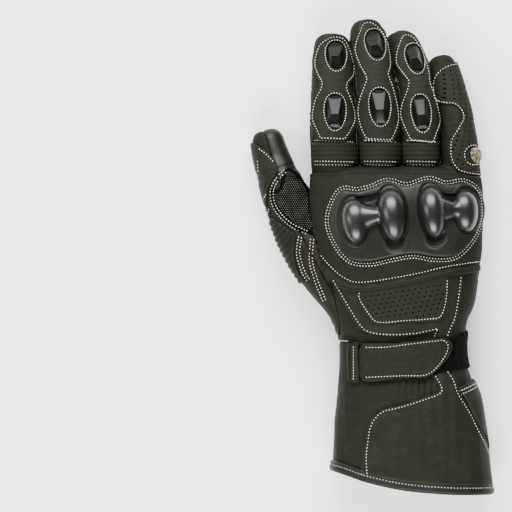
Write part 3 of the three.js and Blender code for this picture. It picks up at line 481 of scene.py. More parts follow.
def asPatch(piece):  # the evaluated mesh as triangles in pattern millimetres; the object goes
    evaluated = piece.evaluated_get(bpy.context.evaluated_depsgraph_get())
    mesh = bpy.data.meshes.new_from_object(evaluated)
    mesh.calc_loop_triangles()
    points = np.empty(len(mesh.vertices) * 3)
    mesh.vertices.foreach_get("co", points)
    faces = np.empty(len(mesh.loop_triangles) * 3, np.int32)
    mesh.loop_triangles.foreach_get("vertices", faces)
    bpy.data.objects.remove(piece)
    return Patch(points.reshape(-1, 3) * 1000 - gloveShift, faces.reshape(-1, 3))


lineGap = dict(crotch=0.04, slit=1.7, slitAt=96.0, slitLong=5.0, slimmer=0.5)


def widenFingers(by):
    for tube in tubes.values():
        tube.lines[:, 3] += by if tube.name != "thumb" else 0


widenFingers(-lineGap["slimmer"])  # slimmer while the skin is fused, so that no fingers join
hand = remeshed("fused", [bodyLoft()] + [tubes[n].rings() for n in tubeTables], skin["voxel"])
widenFingers(lineGap["slimmer"])
print("skin", len(hand.points), "points", len(hand.faces), "triangles")


def columnAt(name, y, column):  # a value of a finger's centre line at y
    lines = tubes[name].lines
    return np.interp(y, lines[:, 1], lines[:, column])


def middleBetween(a, b, y):
    return (columnAt(a, y, 0) + columnAt(a, y, 3) + columnAt(b, y, 0) - columnAt(b, y, 3)) / 2


def ownerOf(points):  # which finger column a point is in
    lines = [middleBetween(a, b, points[:, 1]) for a, b in zip(fingerOrder, fingerOrder[1:])]
    return sum((points[:, 0] > line).astype(int) for line in lines)


def closeFingers(points):  # widens the fingers until their sides touch, apart from one slit
    moved = points.copy()
    owner, y = ownerOf(points), points[:, 1]
    for i, name in enumerate(fingerOrder):
        mine = (owner == i) & (y > 52)
        p, py = points[mine], points[mine][:, 1]
        off = p[:, 0] - columnAt(name, py, 0)
        wide = columnAt(name, py, 3)
        shift = np.zeros(len(p))
        for side in (-1, 1):
            other = i + side
            reach = wide.copy()
            if 0 <= other < 4:
                low, high = sorted((i, other))
                line = middleBetween(fingerOrder[low], fingerOrder[high], py)
                lastY = min(tubeTables[n][-1][1] + tipLength[n] for n in (name, fingerOrder[other]))
                gap = lineGap["crotch"]
                if low == 0:
                    gap = gap + lineGap["slit"] * bell(py, lineGap["slitAt"], lineGap["slitLong"])
                near = ease(py, 55, 61) * (1 - ease(py, lastY - 9, lastY - 2))
                reach = wide + (side * (line - columnAt(name, py, 0)) - gap - wide) * near
            u = np.clip(side * off / wide, 0, 1.2)
            shift += side * (reach - wide + lineGap["slimmer"]) * ease(u, 0.15, 0.95)
        moved[mine, 0] += shift * ease(py, 52, 57)
    return moved


hand.points = closeFingers(hand.points)
x, y, z = hand.points.T
folds = dict(cuffPalm=1.5, cuffBack=0.4, palm=0.5, back=0.3, gather=1.35, knuckleCrease=0.7, strapGather=1.1)
u, w, rho, angle = bodyPlace(hand.points)
left, right, low, high, seam = bodyAt(y)
bodyDist = (rho - 1) * np.hypot(x - (left + right) / 2, z - seam) / np.maximum(rho, 0.05)
bodyDist = np.where(y > 57, 30.0, bodyDist)
tubeDist = {}
for name, tube in tubes.items():
    where = (y > 45) if name != "thumb" else ((x < -20) & (y > -62) & (y < 92))
    dist = np.full(len(x), 30.0)
    along, across, above, wide, tall = tube.place(hand.points[where])
    p = skin["tubePower"]
    r = (np.abs(across / wide) ** p + np.abs(above / tall) ** p) ** (1 / p)
    d = (r - 1) * np.hypot(across, above) / np.maximum(r, 0.05)
    dist[where] = np.where(along > tube.length, np.minimum(d, 0.3), d)
    tubeDist[name] = dist
thumbness = np.where(tubeDist["thumb"] < 29, np.clip(bodyDist, -3, 9) - np.abs(tubeDist["thumb"]), -20)
thumbness = np.where(y > 57, np.where(x < -58, 9.0, -9.0), thumbness)
fingerZ = np.zeros(len(x))
for i, name in enumerate(fingerOrder):
    weight = 1.0
    if i > 0:
        weight = weight * ease(x - middleBetween(fingerOrder[i - 1], name, y), -1, 1)
    if i < 3:
        weight = weight * (1 - ease(x - middleBetween(name, fingerOrder[i + 1], y), -1, 1))
    fingerZ += weight * columnAt(name, y, 2)
seamZ = seam + (fingerZ - seam) * ease(y, 46, 58)
fourchetteEnds = [122.5, 124.5, 110.5]
fourchettes = []
for i, (a, b) in enumerate(zip(fingerOrder, fingerOrder[1:])):
    inner = np.minimum(x - columnAt(a, y, 0) - 3, columnAt(b, y, 0) - 3 - x)
    fourchettes.append(least(5.4 - np.abs(z - fingerZ), inner, y - 50, fourchetteEnds[i] - y))
along, across, above, wide, tall = tubes["thumb"].place(hand.points)
thumbSplit = -(across / wide - (-0.25 + 0.15 * above / tall)) * wide

normal = hand.normals()
under = ease(seamZ - z, -4, 6)
folded = -0.5 * np.abs(np.sin(x * 0.42 + 0.8 + 0.9 * noise(hand.points, (30, 45, 30), 3)))
onCuff = ease(-62 - y, 0, 20)
onTube = ease(y, 56, 64)
lift = onCuff * ease(y, -150, -110) * folded * 2 * np.where(under > 0.5, folds["cuffPalm"], folds["cuffBack"])
lift += onCuff * 0.8 * noise(hand.points, (16, 50, 16), 5)
strapSide = ease(y, -97, -83) * (1 - ease(y, -80, -76))
strapSide *= ease(x, -16, -8) * (1 - ease(x, 22, 30)) * (z > seamZ)
lift -= strapSide * folds["strapGather"] * (0.5 + 0.5 * np.sin(x * 1.5 + noise(hand.points, (9, 30, 9), 6)))
gatherZone = ease(y, -57, -52) * (1 - ease(y, -43, -38.5)) * (z < seamZ)
arc = bodyAround(hand.points)[:, 0]
gathers = np.abs(np.sin(arc * 0.52 + 1.3 * noise(hand.points, (14, 8, 14), 8))) - 0.75
lift += gatherZone * folds["gather"] * gathers
palmSide = under * (1 - gatherZone) * (1 - onCuff)
wandered = hand.points + 3 * noise(hand.points, 9, 11)[:, None]
creases = np.minimum(0, 0.35 - np.abs(noise(wandered, (15, 8, 12), 12))) - 0.2
lift += palmSide * folds["palm"] * creases * (1 - 0.4 * onTube)
lift += (1 - under) * folds["back"] * noise(hand.points, (13, 17, 13), 14)
for name, ring in dict(index=(88, 110), middle=(90, 114), ring=(88, 110), little=(82, 102)).items():
    for at in ring:  # bending creases at the finger joints
        mine = (ownerOf(hand.points) == fingerOrder.index(name)) & (y > 56)
        wave = sum(bell(y, at + d + 0.9 * noise(hand.points, 7, 17), 1.1) for d in (-3.4, 0, 3.6))
        lift -= mine * folds["knuckleCrease"] * wave * np.where(under > 0.4, 1.0, 0.45)
lift += (thumbness > 0) * 0.35 * noise(hand.points, (12, 9, 12), 19)
thumbCreases = sum(bell(along, a + 0.9 * noise(hand.points, 7, 18), 1.2) for a in (92, 96, 100, 116, 119))
lift -= (thumbness > 0) * 0.5 * thumbCreases
hand.points = hand.points + normal * lift[:, None]
hand.points[:, 2] = np.maximum(hand.points[:, 2], skin["restZ"] + 0.25)
hand.values = dict(normal=hand.normals(), upper=z - seamZ, thumb=thumbness, split=thumbSplit, y=y.copy(),
                   hem=y - hemAt(x),
                   four0=fourchettes[0], four1=fourchettes[1], four2=fourchettes[2],
                   notFour=-np.maximum(np.maximum(*fourchettes[:2]), fourchettes[2]),
                   owner=ownerOf(hand.points).astype(float))


def dress(piece, slot, *nodes):  # rides on the glove, and stands for the CAD nodes named
    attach(piece, "root")
    if nodes:
        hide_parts(*nodes)
    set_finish(piece, slot)


def nearestEdge(patch):  # distance from each point to the patch's open edge
    edges = boundaryOf(patch.faces)
    ends = np.unique(edges)
    middle = (patch.points[edges[:, 0]] + patch.points[edges[:, 1]]) / 2
    sites = np.concatenate([patch.points[ends], middle])
    tree = KDTree(len(sites))
    for i, site in enumerate(sites):
        tree.insert(site, i)
    tree.balance()
    return np.array([tree.find(p)[2] for p in patch.points])


outerSurfaces = []  # what rays meet when stitches are laid


def panel(name, valley, cuts):  # one sewn part of the skin: its edges turn down by valley at each seam
    patch = hand
    for key, sign, shift in cuts:
        patch = patch.copy().slice(sign * (patch.values[key] - shift) - skin["seamGap"] / 2)
    patch = patch.weld(0.06).biggest(0.05)
    edge = nearestEdge(patch)
    normals = patch.outward()
    patch.points = patch.points - normals * (valley * np.exp(-(edge / skin["seamRound"]) ** 2))[:, None]
    patch.values["edge"] = edge
    patch.values["stitch"] = np.full(len(edge), noneNear)
    outerSurfaces.append((patch.points, patch.faces))
    return walled(name, patch, normals, skin["wall"])


def nodesOf(side, first):
    return [first] + [finger + side for finger in fingerOrder]


above, below, offThumb, onThumb = ("upper", 1, 0), ("upper", -1, 0), ("thumb", -1, 0), ("thumb", 1, 0)
panelTable = [  # piece, slot, depth of its seams, the fields that cut it out of the skin, the CAD nodes
    ("handBack", "back_leather", 0.6, [above, ("notFour", 1, 0), offThumb, ("y", 1, -56)],
     nodesOf("_back", "back_panel")),
    ("handPalm", "palm_leather", 0.6, [below, ("notFour", 1, 0), offThumb, ("y", 1, -39)],
     nodesOf("_palm", "palm_panel")),
    ("fourchetteIndexMiddle", "palm_leather", 0.6, [("four0", 1, 0)], ["fourchette_index_middle"]),
    ("fourchetteMiddleRing", "palm_leather", 0.6, [("four1", 1, 0)], ["fourchette_middle_ring"]),
    ("fourchetteRingLittle", "palm_leather", 0.6, [("four2", 1, 0)], ["fourchette_ring_little"]),
    ("wristGather", "palm_leather", 1.2, [below, ("y", 1, -56), ("y", -1, -39), offThumb], ["wrist_gather"]),
    ("cuffBack", "back_leather", 0.6, [above, ("y", -1, -56), ("hem", 1, 5.0)], ["cuff_back"]),
    ("cuffPalm", "palm_leather", 0.6, [below, ("y", -1, -56), ("hem", 1, 5.0)], ["cuff_palm"]),
    ("thumbBack", "back_leather", 0.6, [onThumb, ("split", 1, 0)], ["thumb_back"]),
    ("thumbPalm", "palm_leather", 0.6, [onThumb, ("split", -1, 0)], ["thumb_palm"])]
skinPieces = {}
for name, slot, valley, cuts, nodes in panelTable:
    skinPieces[name] = panel(name, valley, cuts)
    dress(skinPieces[name], slot, *nodes)
print("panels", {n: len(p.data.polygons) for n, p in skinPieces.items()})


# Outlines and distances
def smoothLine(points, closed=True, step=0.7):  # a smooth curve through measured points, evenly spaced
    p = np.asarray(points, float)
    ends = (p[-2:], p[:3]) if closed else ([2 * p[0] - p[1], p[0]], [p[-1], 2 * p[-1] - p[-2]])
    q = np.vstack([ends[0], p, ends[1]])
    made = []
    for i in range(1, len(q) - 2) if not closed else range(2, len(q) - 3):
        p0, p1, p2, p3 = q[i - 1:i + 3]
        if np.allclose(p1, p2):
            continue
        d = [max(np.linalg.norm(b - a) ** 0.5, 1e-6) for a, b in ((p0, p1), (p1, p2), (p2, p3))]
        t = np.linspace(0, 1, max(3, int(np.linalg.norm(p2 - p1) / step * 1.5)), endpoint=False)[:, None]
        m1 = p2 - p1 + d[1] * ((p1 - p0) / d[0] - (p2 - p0) / (d[0] + d[1])) if d[0] > 1e-3 else p2 - p1
        m2 = p2 - p1 + d[1] * ((p3 - p2) / d[2] - (p3 - p1) / (d[1] + d[2])) if d[2] > 1e-3 else p2 - p1
        made.append((2 * t ** 3 - 3 * t ** 2 + 1) * p1 + (t ** 3 - 2 * t ** 2 + t) * m1
                    + (3 * t ** 2 - 2 * t ** 3) * p2 + (t ** 3 - t ** 2) * m2)
    made.append(p[-1:] if not closed else made[0][:1])
    return resampled(np.concatenate(made), step)


def resampled(line, step):
    span = np.concatenate([[0], np.cumsum(np.linalg.norm(np.diff(line, axis=0), axis=1))])
    keep = np.concatenate([[True], np.diff(span) > 1e-9])
    line, span = line[keep], span[keep]
    at = np.linspace(0, span[-1], max(2, int(round(span[-1] / step)) + 1))
    return np.stack([np.interp(at, span, line[:, c]) for c in range(line.shape[1])], axis=1)


def lineDistance(points, line):  # distance of 2D points from a polyline
    a, b = line[:-1], line[1:]
    way = b - a
    size = np.maximum((way ** 2).sum(axis=1), 1e-12)
    best = np.empty(len(points))
    for i in range(0, len(points), 4000):
        off = points[i:i + 4000, None] - a[None]
        t = np.clip((off * way[None]).sum(axis=2) / size, 0, 1)
        best[i:i + 4000] = np.sqrt((((off - t[..., None] * way[None]) ** 2).sum(axis=2)).min(axis=1))
    return best


def insideOf(points, line):  # signed distance, positive inside a closed line
    a, b = line[:-1], line[1:]
    crossings = np.zeros(len(points), int)
    for (x0, y0), (x1, y1) in zip(a, b):
        if y0 == y1:
            continue
        hit = (points[:, 1] >= min(y0, y1)) & (points[:, 1] < max(y0, y1))
        crossings += hit & (points[:, 0] < x0 + (points[:, 1] - y0) * (x1 - x0) / (y1 - y0))
    return lineDistance(points, line) * np.where(crossings % 2 == 1, 1, -1)


def closedLine(points, step=0.7):
    line = smoothLine(points, True, step)
    return np.vstack([line, line[:1]])


def cornered(points, step=0.7):  # a closed outline with straight sides
    p = np.asarray(points, float)
    return resampled(np.vstack([p, p[:1]]), step)


def insideSmooth(points, line, step=0.8):  # the same for a smooth outline through measured points
    return insideOf(points[:, :2], cornered(smoothLine(line, True, step)))


def settled(patch):  # keeps a laid piece off the floor, and lets stitches find it
    patch.points[:, 2] = np.maximum(patch.points[:, 2], skin["restZ"])
    outerSurfaces.append((patch.points, patch.faces))


def roundEdge(d, round):  # 0 at the edge to 1 inside it, as a quarter circle
    t = np.clip(d / round, 0, 1)
    return np.sqrt(np.clip(1 - (1 - t) ** 2, 0, 1))


# one piece of leather on the skin: patch where field > 0, raised by lift, its edge rounded
def laidOn(name, node, patch, field, lift, thick, round=0.9, rim=0.45, stitch=None, height=None,
           rings=(0.5, 1.1), fine=0, drop=None, slot="overlay_leather", extra=None):
    patch = patch.copy()
    patch.values["field"] = field
    if stitch is not None:
        patch.values["stitch"] = stitch
    for key, value in (extra or {}).items():
        patch.values[key] = value
    patch = patch.facesWhere(patch.values["field"] > -1.5)
    for _ in range(fine):
        patch = patch.refined()
    patch = patch.slice(patch.values["field"])
    for ring in rings:
        patch = patch.slice(patch.values["field"] - ring, keepBelow=True)
    patch = patch.weld(0.05).biggest(0.02)
    d = np.maximum(patch.values["field"], 0)
    normals = patch.outward()
    tall = thick * (rim + (1 - rim) * roundEdge(d, round))
    if height is not None:
        tall = tall + height(patch, d)
    patch.points = patch.points + normals * (lift + tall)[:, None]
    patch.values["edge"] = d
    if stitch is None:
        patch.values["stitch"] = np.full(len(d), noneNear)
    settled(patch)
    piece = walled(name, patch, normals, (tall + min(lift, 0.3)) if drop is None else drop)
    dress(piece, slot, node)
    return piece, patch


stitchRows = []  # polyline in plan, whether it is laid from below, and the pitch of its stitches


# notes a stitched line in plan, with its rows set off to the left of the way it runs
def sewn(line, below=False, smooth=True, closed=False, rows=(0.0,), pitch=2.2):
    line = smoothLine(line, closed, 0.5) if smooth else resampled(np.asarray(line, float), 0.5)
    way = np.gradient(line, axis=0)
    way /= np.maximum(np.linalg.norm(way, axis=1, keepdims=True), 1e-9)
    for offset in rows:
        stitchRows.append((line + np.stack([-way[:, 1], way[:, 0]], axis=1) * offset, below, pitch))


# Finger overlays with their windows, the ribbed stretch bands and the faceted studs
overlayStitch = dict(
    index=[(-39.4, 139.8), (-43.6, 139.2), (-49.5, 135), (-52.7, 127), (-53, 121), (-50.8, 115),
           (-48.6, 110), (-49.5, 106), (-52.2, 101), (-54.6, 92), (-54.6, 86), (-52, 80), (-49.8, 74.8),
           (-34.3, 74.2), (-30.5, 80), (-27.8, 86), (-28, 92), (-30.8, 101), (-32.8, 106), (-32.8, 110),
           (-28.8, 115), (-28.1, 121), (-29.5, 127), (-31.8, 134), (-35, 138.6)],
    middle=[(-17.6, 149.2), (-21.6, 148.4), (-24.2, 143), (-26.7, 136), (-27.3, 131), (-24.4, 122),
            (-20.2, 113), (-21.8, 107.6), (-24.9, 98), (-25.6, 90), (-22.8, 79), (-20, 74.2), (-4.6, 73.6),
            (-2.4, 78), (0, 86), (-0.5, 95), (-3.4, 107), (-6.3, 116), (-5, 121), (-5.7, 132),
            (-8.0, 139.6), (-11.4, 145)],
    ring=[(6.3, 141.4), (3.6, 140.6), (1.6, 136.6), (-0.5, 130), (-0.8, 123), (2.9, 117), (6.9, 111),
          (5.5, 104.5), (2.4, 96), (1.6, 90), (4.5, 81), (7.8, 73.8), (22, 71.9), (23.9, 77), (26.8, 86),
          (25.4, 94), (23.3, 102), (20.2, 111), (19.9, 116), (18.1, 124), (13.6, 134.6), (10.2, 139.4)])
windowTable = [  # finger, stud node, centre, size, lean
    ("index", "index_stud_near", (-40.4, 91.5), (12, 22), 0),
    ("index", "index_stud_far", (-39.6, 127.8), (11.7, 18), 2),
    ("middle", "middle_stud_near", (-11.8, 94.6), (12, 23), 3),
    ("middle", "middle_stud_far", (-14.4, 135), (11.2, 18.6), 11),
    ("ring", "ring_stud_near", (14.6, 90.6), (10.8, 22.6), 6),
    ("ring", "ring_stud_far", (11, 126), (10.2, 18.2), 14)]


def windowOutline(centre, size, lean):  # a long rounded opening, narrower towards the wrist
    a = np.linspace(0, 2 * np.pi, 48, endpoint=False)
    wide = size[0] / 2 * (1 + 0.10 * np.sin(a))
    p = np.stack([wide * power(np.cos(a), 0.86), size[1] / 2 * power(np.sin(a), 1.0)], axis=1)
    c, s = math.cos(math.radians(lean)), math.sin(math.radians(lean))
    return np.array(centre) + p @ np.array([[c, s], [-s, c]])


overlaySize = dict(lift=0.3, thick=1.5, margin=1.3, windowStitch=1.1)
fingerBase = {}
for name in ("index", "middle", "ring"):
    tube = tubes[name]
    mine = hand.values["owner"] == fingerOrder.index(name)
    mine &= (hand.values["y"] > 56) & (hand.values["upper"] > -1.5)
    base = hand.facesWhere(mine)
    flat = tube.around(base.points)
    corner = int(np.argmin([b[1] + a[1] for a, b in zip(overlayStitch[name], overlayStitch[name][1:])])) + 1
    # from its right foot, over the tip, to its left foot
    path = overlayStitch[name][corner:] + overlayStitch[name][:corner]
    outer = smoothLine(tube.fromAbove(path), False)
    outer = np.vstack([outer, outer[:1]])
    toStitch = insideOf(flat, outer)
    field = toStitch + overlaySize["margin"]
    stitch = np.abs(toStitch)
    for finger, _, centre, size, lean in windowTable:
        if finger != name:
            continue
        opening = windowOutline(centre, size, lean)
        toWindow = insideOf(flat, closedLine(tube.fromAbove(opening)))
        field = np.minimum(field, -toWindow)
        stitch = np.minimum(stitch, np.abs(-toWindow - overlaySize["windowStitch"]))
        ring = windowOutline(centre, [side + 2 * overlaySize["windowStitch"] for side in size], lean)
        sewn(ring, closed=True, pitch=2.0)
    sewn(path)
    sewn([path[-1], path[0]], smooth=False)
    laidOn(name + "Overlay", name + "_overlay", base, field, overlaySize["lift"], overlaySize["thick"],
           stitch=stitch)
    fingerBase[name] = base

bandTable = dict(index=(-54.4, -28.0), middle=(-22.9, -0.6), ring=(4.4, 24.6))
bandSize = dict(low=57.4, high=71.9, ribs=5, lift=0.3, groove=0.4, rib=1.5)
bandPitch = (bandSize["high"] - bandSize["low"]) / bandSize["ribs"]


def bandT(patch):  # which rib of the stretch band a point is on
    return (patch.values["y"] - bandSize["low"]) / bandPitch


def bandRibs(patch, d):
    t = (patch.values["y"] - bandSize["low"]) / (bandSize["high"] - bandSize["low"]) * bandSize["ribs"]
    wave = np.abs(np.sin(np.pi * t)) ** 0.45
    return bandSize["rib"] * wave * np.clip(d / 1.2, 0.35, 1)


for name, (x0, x1) in bandTable.items():
    tube = tubes[name]
    base = fingerBase[name]
    flat = tube.around(base.points)
    ends = tube.fromAbove([(x0, 64), (x1, 64)])[:, 0]
    across, along = flat[:, 0], base.points[:, 1]
    field = least(across - ends[0], ends[1] - across, along - bandSize["low"], bandSize["high"] - along)
    laidOn(name + "StretchBand", name + "_stretch_band", base, field, bandSize["lift"], bandSize["groove"],
           height=bandRibs, fine=1, rings=(0.6,), slot="back_leather",
           stitch=np.abs((bandT(base) - np.round(bandT(base))) * bandPitch) + 0.15)
    sewn([(x0 + 0.6, 73.3), (x1 - 0.6, 72.2)], smooth=False)
    sewn([(x0 + 0.6, 59.9), (x1 - 0.6, 59.5)], rows=(0.0, -2.1), smooth=False)
print("fingers dressed")

# Little finger: perforated side panel and the round knurled stud on it
latticeSize = dict(pitch=3.4, row=2.95, hole=0.6)


def holeField(a, b, size):  # distance from the nearest hole's edge, in a staggered lattice
    row = np.round(b / size["row"])
    best = np.full(len(a), 1e9)
    for shift in (-1, 0, 1):
        r = row + shift
        offset = (r % 2) * size["pitch"] / 2
        k = np.round((a - offset) / size["pitch"])
        ca, cb = k * size["pitch"] + offset, r * size["row"]
        dist = np.hypot(a - ca, b - cb) - size["hole"]
        best = np.minimum(best, dist)
    return best


sideStitch = [(52, 124.5), (38.6, 122.8), (32.3, 121.2), (26, 117), (23.3, 112), (22.6, 104.5),
              (23.9, 99.7), (30.2, 97.6), (35.9, 97.1), (40.7, 92.9), (41.9, 87.7), (38.6, 81), (34.4, 74),
              (33.5, 67.6), (34.4, 61), (38, 55), (42.8, 53), (53.2, 51.4), (66, 51.0), (72, 90), (62, 122)]
badge = dict(x=48.4, y=63.9, z=34.4, radius=4.9, turn=24)
littleSide = (hand.values["owner"] == 3) | (hand.values["y"] < 58)
onSide = (hand.values["y"] > 47) & (hand.points[:, 0] > 16) & (hand.values["upper"] > -2)
base = hand.facesWhere(onSide & littleSide)
toStitch = insideOf(base.points[:, :2], closedLine(sideStitch))
toBadge = np.linalg.norm(base.points - (badge["x"], badge["y"], badge["z"]), axis=1) - badge["radius"] - 0.9
field = least(toStitch + 1.3, base.values["upper"] + 1.0, toBadge)
sidePanel = dict(thick=1.2, lift=0.3)


# a laid piece with real holes punched through, in rows along a and b, clear of its edge
def perforated(name, node, base, field, a, b, lift, thick, stitch, clear, size=latticeSize):
    patch = base.copy()
    patch.values.update(field=field, a=a, b=b, stitch=stitch)
    patch = patch.facesWhere(field > -1.5)
    patch = patch.slice(patch.values["field"])
    patch = patch.refined()
    patch.values["normal"] = patch.outward()
    holes = holeField(patch.values["a"], patch.values["b"], size)
    holes = np.where(patch.values["field"] > clear, holes, noneNear)
    patch = patch.slice(holes)
    patch = patch.weld(0.03).biggest(0.02)
    d = np.maximum(patch.values["field"], 0)
    toHole = np.maximum(holeField(patch.values["a"], patch.values["b"], size), 0)
    toHole = np.where(d > clear, toHole, noneNear)
    normals = patch.outward()
    tall = thick * (0.45 + 0.55 * roundEdge(d, 0.8)) - 0.16 * np.exp(-(toHole / 0.35) ** 2)
    patch.points = patch.points + normals * (lift + tall)[:, None]
    patch.values["edge"] = np.minimum(d, toHole + 0.3)
    settled(patch)
    dress(walled(name, patch, normals, tall), "perforated_leather", node)


x, y, z = base.points.T
perforated("littleSidePanel", "little_side_panel", base, field, 0.82 * (x - z) + 0.25 * y, y + 0.1 * x,
           sidePanel["lift"], sidePanel["thick"], np.minimum(np.abs(toStitch), np.abs(toBadge - 1.2)), 1.9)
sewn(sideStitch[1:-3])
ringAngle = np.linspace(0, 2 * np.pi, 30, endpoint=False)
sewn(np.stack([badge["x"] + 6.2 * np.cos(ringAngle), badge["y"] + 6.3 * np.sin(ringAngle)], axis=1),
     closed=True)


def shaded(piece, line, foot):  # paints shade onto the skin that shows through a perforated piece's holes
    at = np.empty(len(piece.data.vertices) * 3)
    piece.data.vertices.foreach_get("co", at)
    at = at.reshape(-1, 3) * 1000 - gloveShift
    shade = np.where(at[:, 2] > foot, ease(insideOf(at[:, :2], line), 0.3, 1.2), 0)
    addNumbers(piece.data, "shade", shade)


shaded(skinPieces["handBack"], closedLine(sideStitch), 15)
turn = math.radians(badge["turn"])
badgeAxes = np.array([(math.cos(turn), 0, -math.sin(turn)), (0, 1, 0), (math.sin(turn), 0, math.cos(turn))])
print("side panel done")

# Knuckle panel: padded leather, with a stitched seam and a rolled lower edge
knuckleSeam = [(-60, 8), (-51, -1), (-44, -9), (-37, -15), (-28.6, -18.7), (-18, -18.4), (-2.4, -16),
               (13.4, -13), (29, -9.3), (45, -6.7), (53, -5.6), (62, -5)]
knuckleSize = dict(lift=0.3, thick=1.9, roll=4.6, crown=0.5, foot=33.0)
panelTop = [(62, 51.6), (44, 52.2), (27, 53.0), (2, 53.4), (-27, 53.2), (-44, 52.6), (-62, 52)]
panelLine = np.vstack([smoothLine(knuckleSeam, False, 0.7), smoothLine(panelTop, False, 0.7)])
panelLine = np.vstack([panelLine, panelLine[:1]])
seamLine = smoothLine(knuckleSeam, False, 0.7)
base = hand.within(y=(-34, 60), z=(knuckleSize["foot"] - 3, far), thumb=(-far, 1.0))
toPanel = insideOf(base.points[:, :2], panelLine)
fromSeam = lineDistance(base.points[:, :2], seamLine)
across = base.points[:, 1]
belowSeam = (toPanel < 0) & (fromSeam < 8) & (across < 8)
onRoll = np.where(belowSeam, -fromSeam, np.where(toPanel < 0, -noneNear, toPanel)) + knuckleSize["roll"]
sideRoom = -(insideOf(base.points[:, :2], closedLine(sideStitch)) + 1.6)
field = least(onRoll, base.points[:, 2] - knuckleSize["foot"], 54.6 - base.values["y"],
              np.where(across > 40, sideRoom, far))
inPanel = np.minimum(np.maximum(toPanel, 0), np.where(across < 12, fromSeam, noneNear))
base.values["seamSide"] = np.where(belowSeam, -fromSeam, inPanel)


def knuckleHeight(patch, d):
    s = patch.values["seamSide"]
    roll = np.where(s < 0, 1.7 * np.sqrt(np.clip(1 - ((s + 2.4) / 2.3) ** 2, 0, 1)), 0)
    groove = -0.9 * np.exp(-((s - 0.1) / 0.8) ** 2)
    crown = knuckleSize["crown"] * ease(s, 2, 10) + 0.35 * noise(patch.points, (17, 13, 17), 21)
    roll = roll * ease(patch.points[:, 2], knuckleSize["foot"] - 2, knuckleSize["foot"] + 9)
    return roll + groove * (patch.points[:, 1] < 10) + crown * (s > 0)


knucklePanel = laidOn("knucklePanel", "knuckle_panel", base, field, knuckleSize["lift"], knuckleSize["thick"],
                      stitch=np.abs(base.values["seamSide"] - 2.2), height=knuckleHeight,
                      slot="back_leather")[0]
sewn(knuckleSeam[1:-1], rows=(1.6,))

# Knuckle guard: a smooth plate, and two pairs of domes joined by saddles over sunk vents with painted shade
guardLine = [(-35.7, 40.2), (-27, 39.6), (-17, 41.8), (-7, 45.6), (4.5, 42.8), (19.5, 46.8), (30, 43.8),
             (41.7, 45.2), (49.4, 40), (52, 27), (46.5, 11.4), (35.4, 0.4), (22.9, -0.8), (9, 1.2),
             (-4.8, -1), (-18.7, -3.8), (-30.5, -2), (-39.5, 9), (-43.4, 23.5)]
guardSize = dict(low=2.5, high=4.7, step=0.6, round=1.7, recess=1.6, slot=1.95,
                 moat=0.6, moatEdge=0.22, ridge=0.8)
scoopSize = dict(wide=7.2, long=6.6, back=1.5, lip=0.6, shade=0.6)
domeSize = dict(sides=40, sections=41, end=0.985, wider=0.3, taper=0.11, taller=0.9, under=4.5,
                sink=1.9, follow=0.8, voxel=0.55, smoothing=19, foot=0.7, wall=1.0)
saddleSize = dict(sides=36, sections=31, shift=1.2, half=4.9, tall=6.3, wider=8.0, taller=2.2,
                  under=3.5, sink=1.0)
ventTable = [[(-27.4, 35.2), (-26.2, 36.2), (-12.0, 39.4), (-12.0, 35.6), (-18, 33.6), (-25, 33.4)],
             [(27.4, 38.6), (38.6, 38.2), (37.4, 34.6), (34, 33.2), (29.6, 34.8)]]
domeTable = [  # centre, half width, half length, height over the plate, lean
    (-27.7, 21.4, 8.9, 15.0, 9.5, 5), (-4.1, 25.3, 9.5, 17.8, 11.0, 7), (21.2, 27.3, 8.7, 17.4, 10.6, 7),
    (42.2, 27.7, 8.3, 13.9, 8.8, 5)]


def bodyTop(x, y):  # the height of the back of the hand
    left, right, low, high, seam = bodyAt(y)
    h = (right - left) / 2
    u = np.clip((x - (left + right) / 2) / h, -0.995, 0.995)
    p = skin["topPower"]
    return seam + (high - seam) * (1 - np.abs(u) ** p) ** (1 / p)


def backSheet(outline, step, grow):  # an even grid over an outline in plan, on the back of the hand
    line = np.asarray(outline, float)
    x0, y0 = line.min(axis=0) - grow
    x1, y1 = line.max(axis=0) + grow
    nx, ny = int((x1 - x0) / step) + 1, int((y1 - y0) / step) + 1
    gx, gy = np.meshgrid(x0 + step * np.arange(nx), y0 + step * np.arange(ny))
    gx[1::2] += step / 2
    z = bodyTop(gx, gy)
    e = 0.5
    dzx = np.clip((bodyTop(gx + e, gy) - bodyTop(gx - e, gy)) / (2 * e), -1.9, 1.9)
    dzy = (bodyTop(gx, gy + e) - bodyTop(gx, gy - e)) / (2 * e)
    normals = np.stack([-dzx, -dzy, np.ones_like(dzx)], axis=-1).reshape(-1, 3)
    normals /= np.linalg.norm(normals, axis=1, keepdims=True)
    i, j = np.meshgrid(np.arange(ny - 1), np.arange(nx - 1), indexing="ij")
    a = i * nx + j
    even = (i % 2 == 0)[..., None]
    b, c, d = a + 1, a + nx, a + nx + 1
    one = np.where(even, np.stack([a, b, c], -1), np.stack([a, b, d], -1))
    two = np.where(even, np.stack([b, d, c], -1), np.stack([a, d, c], -1))
    faces = np.concatenate([one.reshape(-1, 3), two.reshape(-1, 3)])
    return Patch(np.stack([gx, gy, z], axis=-1).reshape(-1, 3), faces, normal=normals, y=gy.reshape(-1))


def domeReach(points, dome):  # below 1 inside a dome's footprint
    cx, cy, wide, long, _, lean = dome
    c, s = math.cos(math.radians(lean)), math.sin(math.radians(lean))
    off = points[:, :2] - (cx, cy)
    a, b = off[:, 0] * c + off[:, 1] * s, -off[:, 0] * s + off[:, 1] * c
    return np.hypot(a / wide, b / long)


plateBase = backSheet(guardLine, guardSize["step"], 3)
toGuard = insideOf(plateBase.points[:, :2], closedLine(guardLine, 0.6))


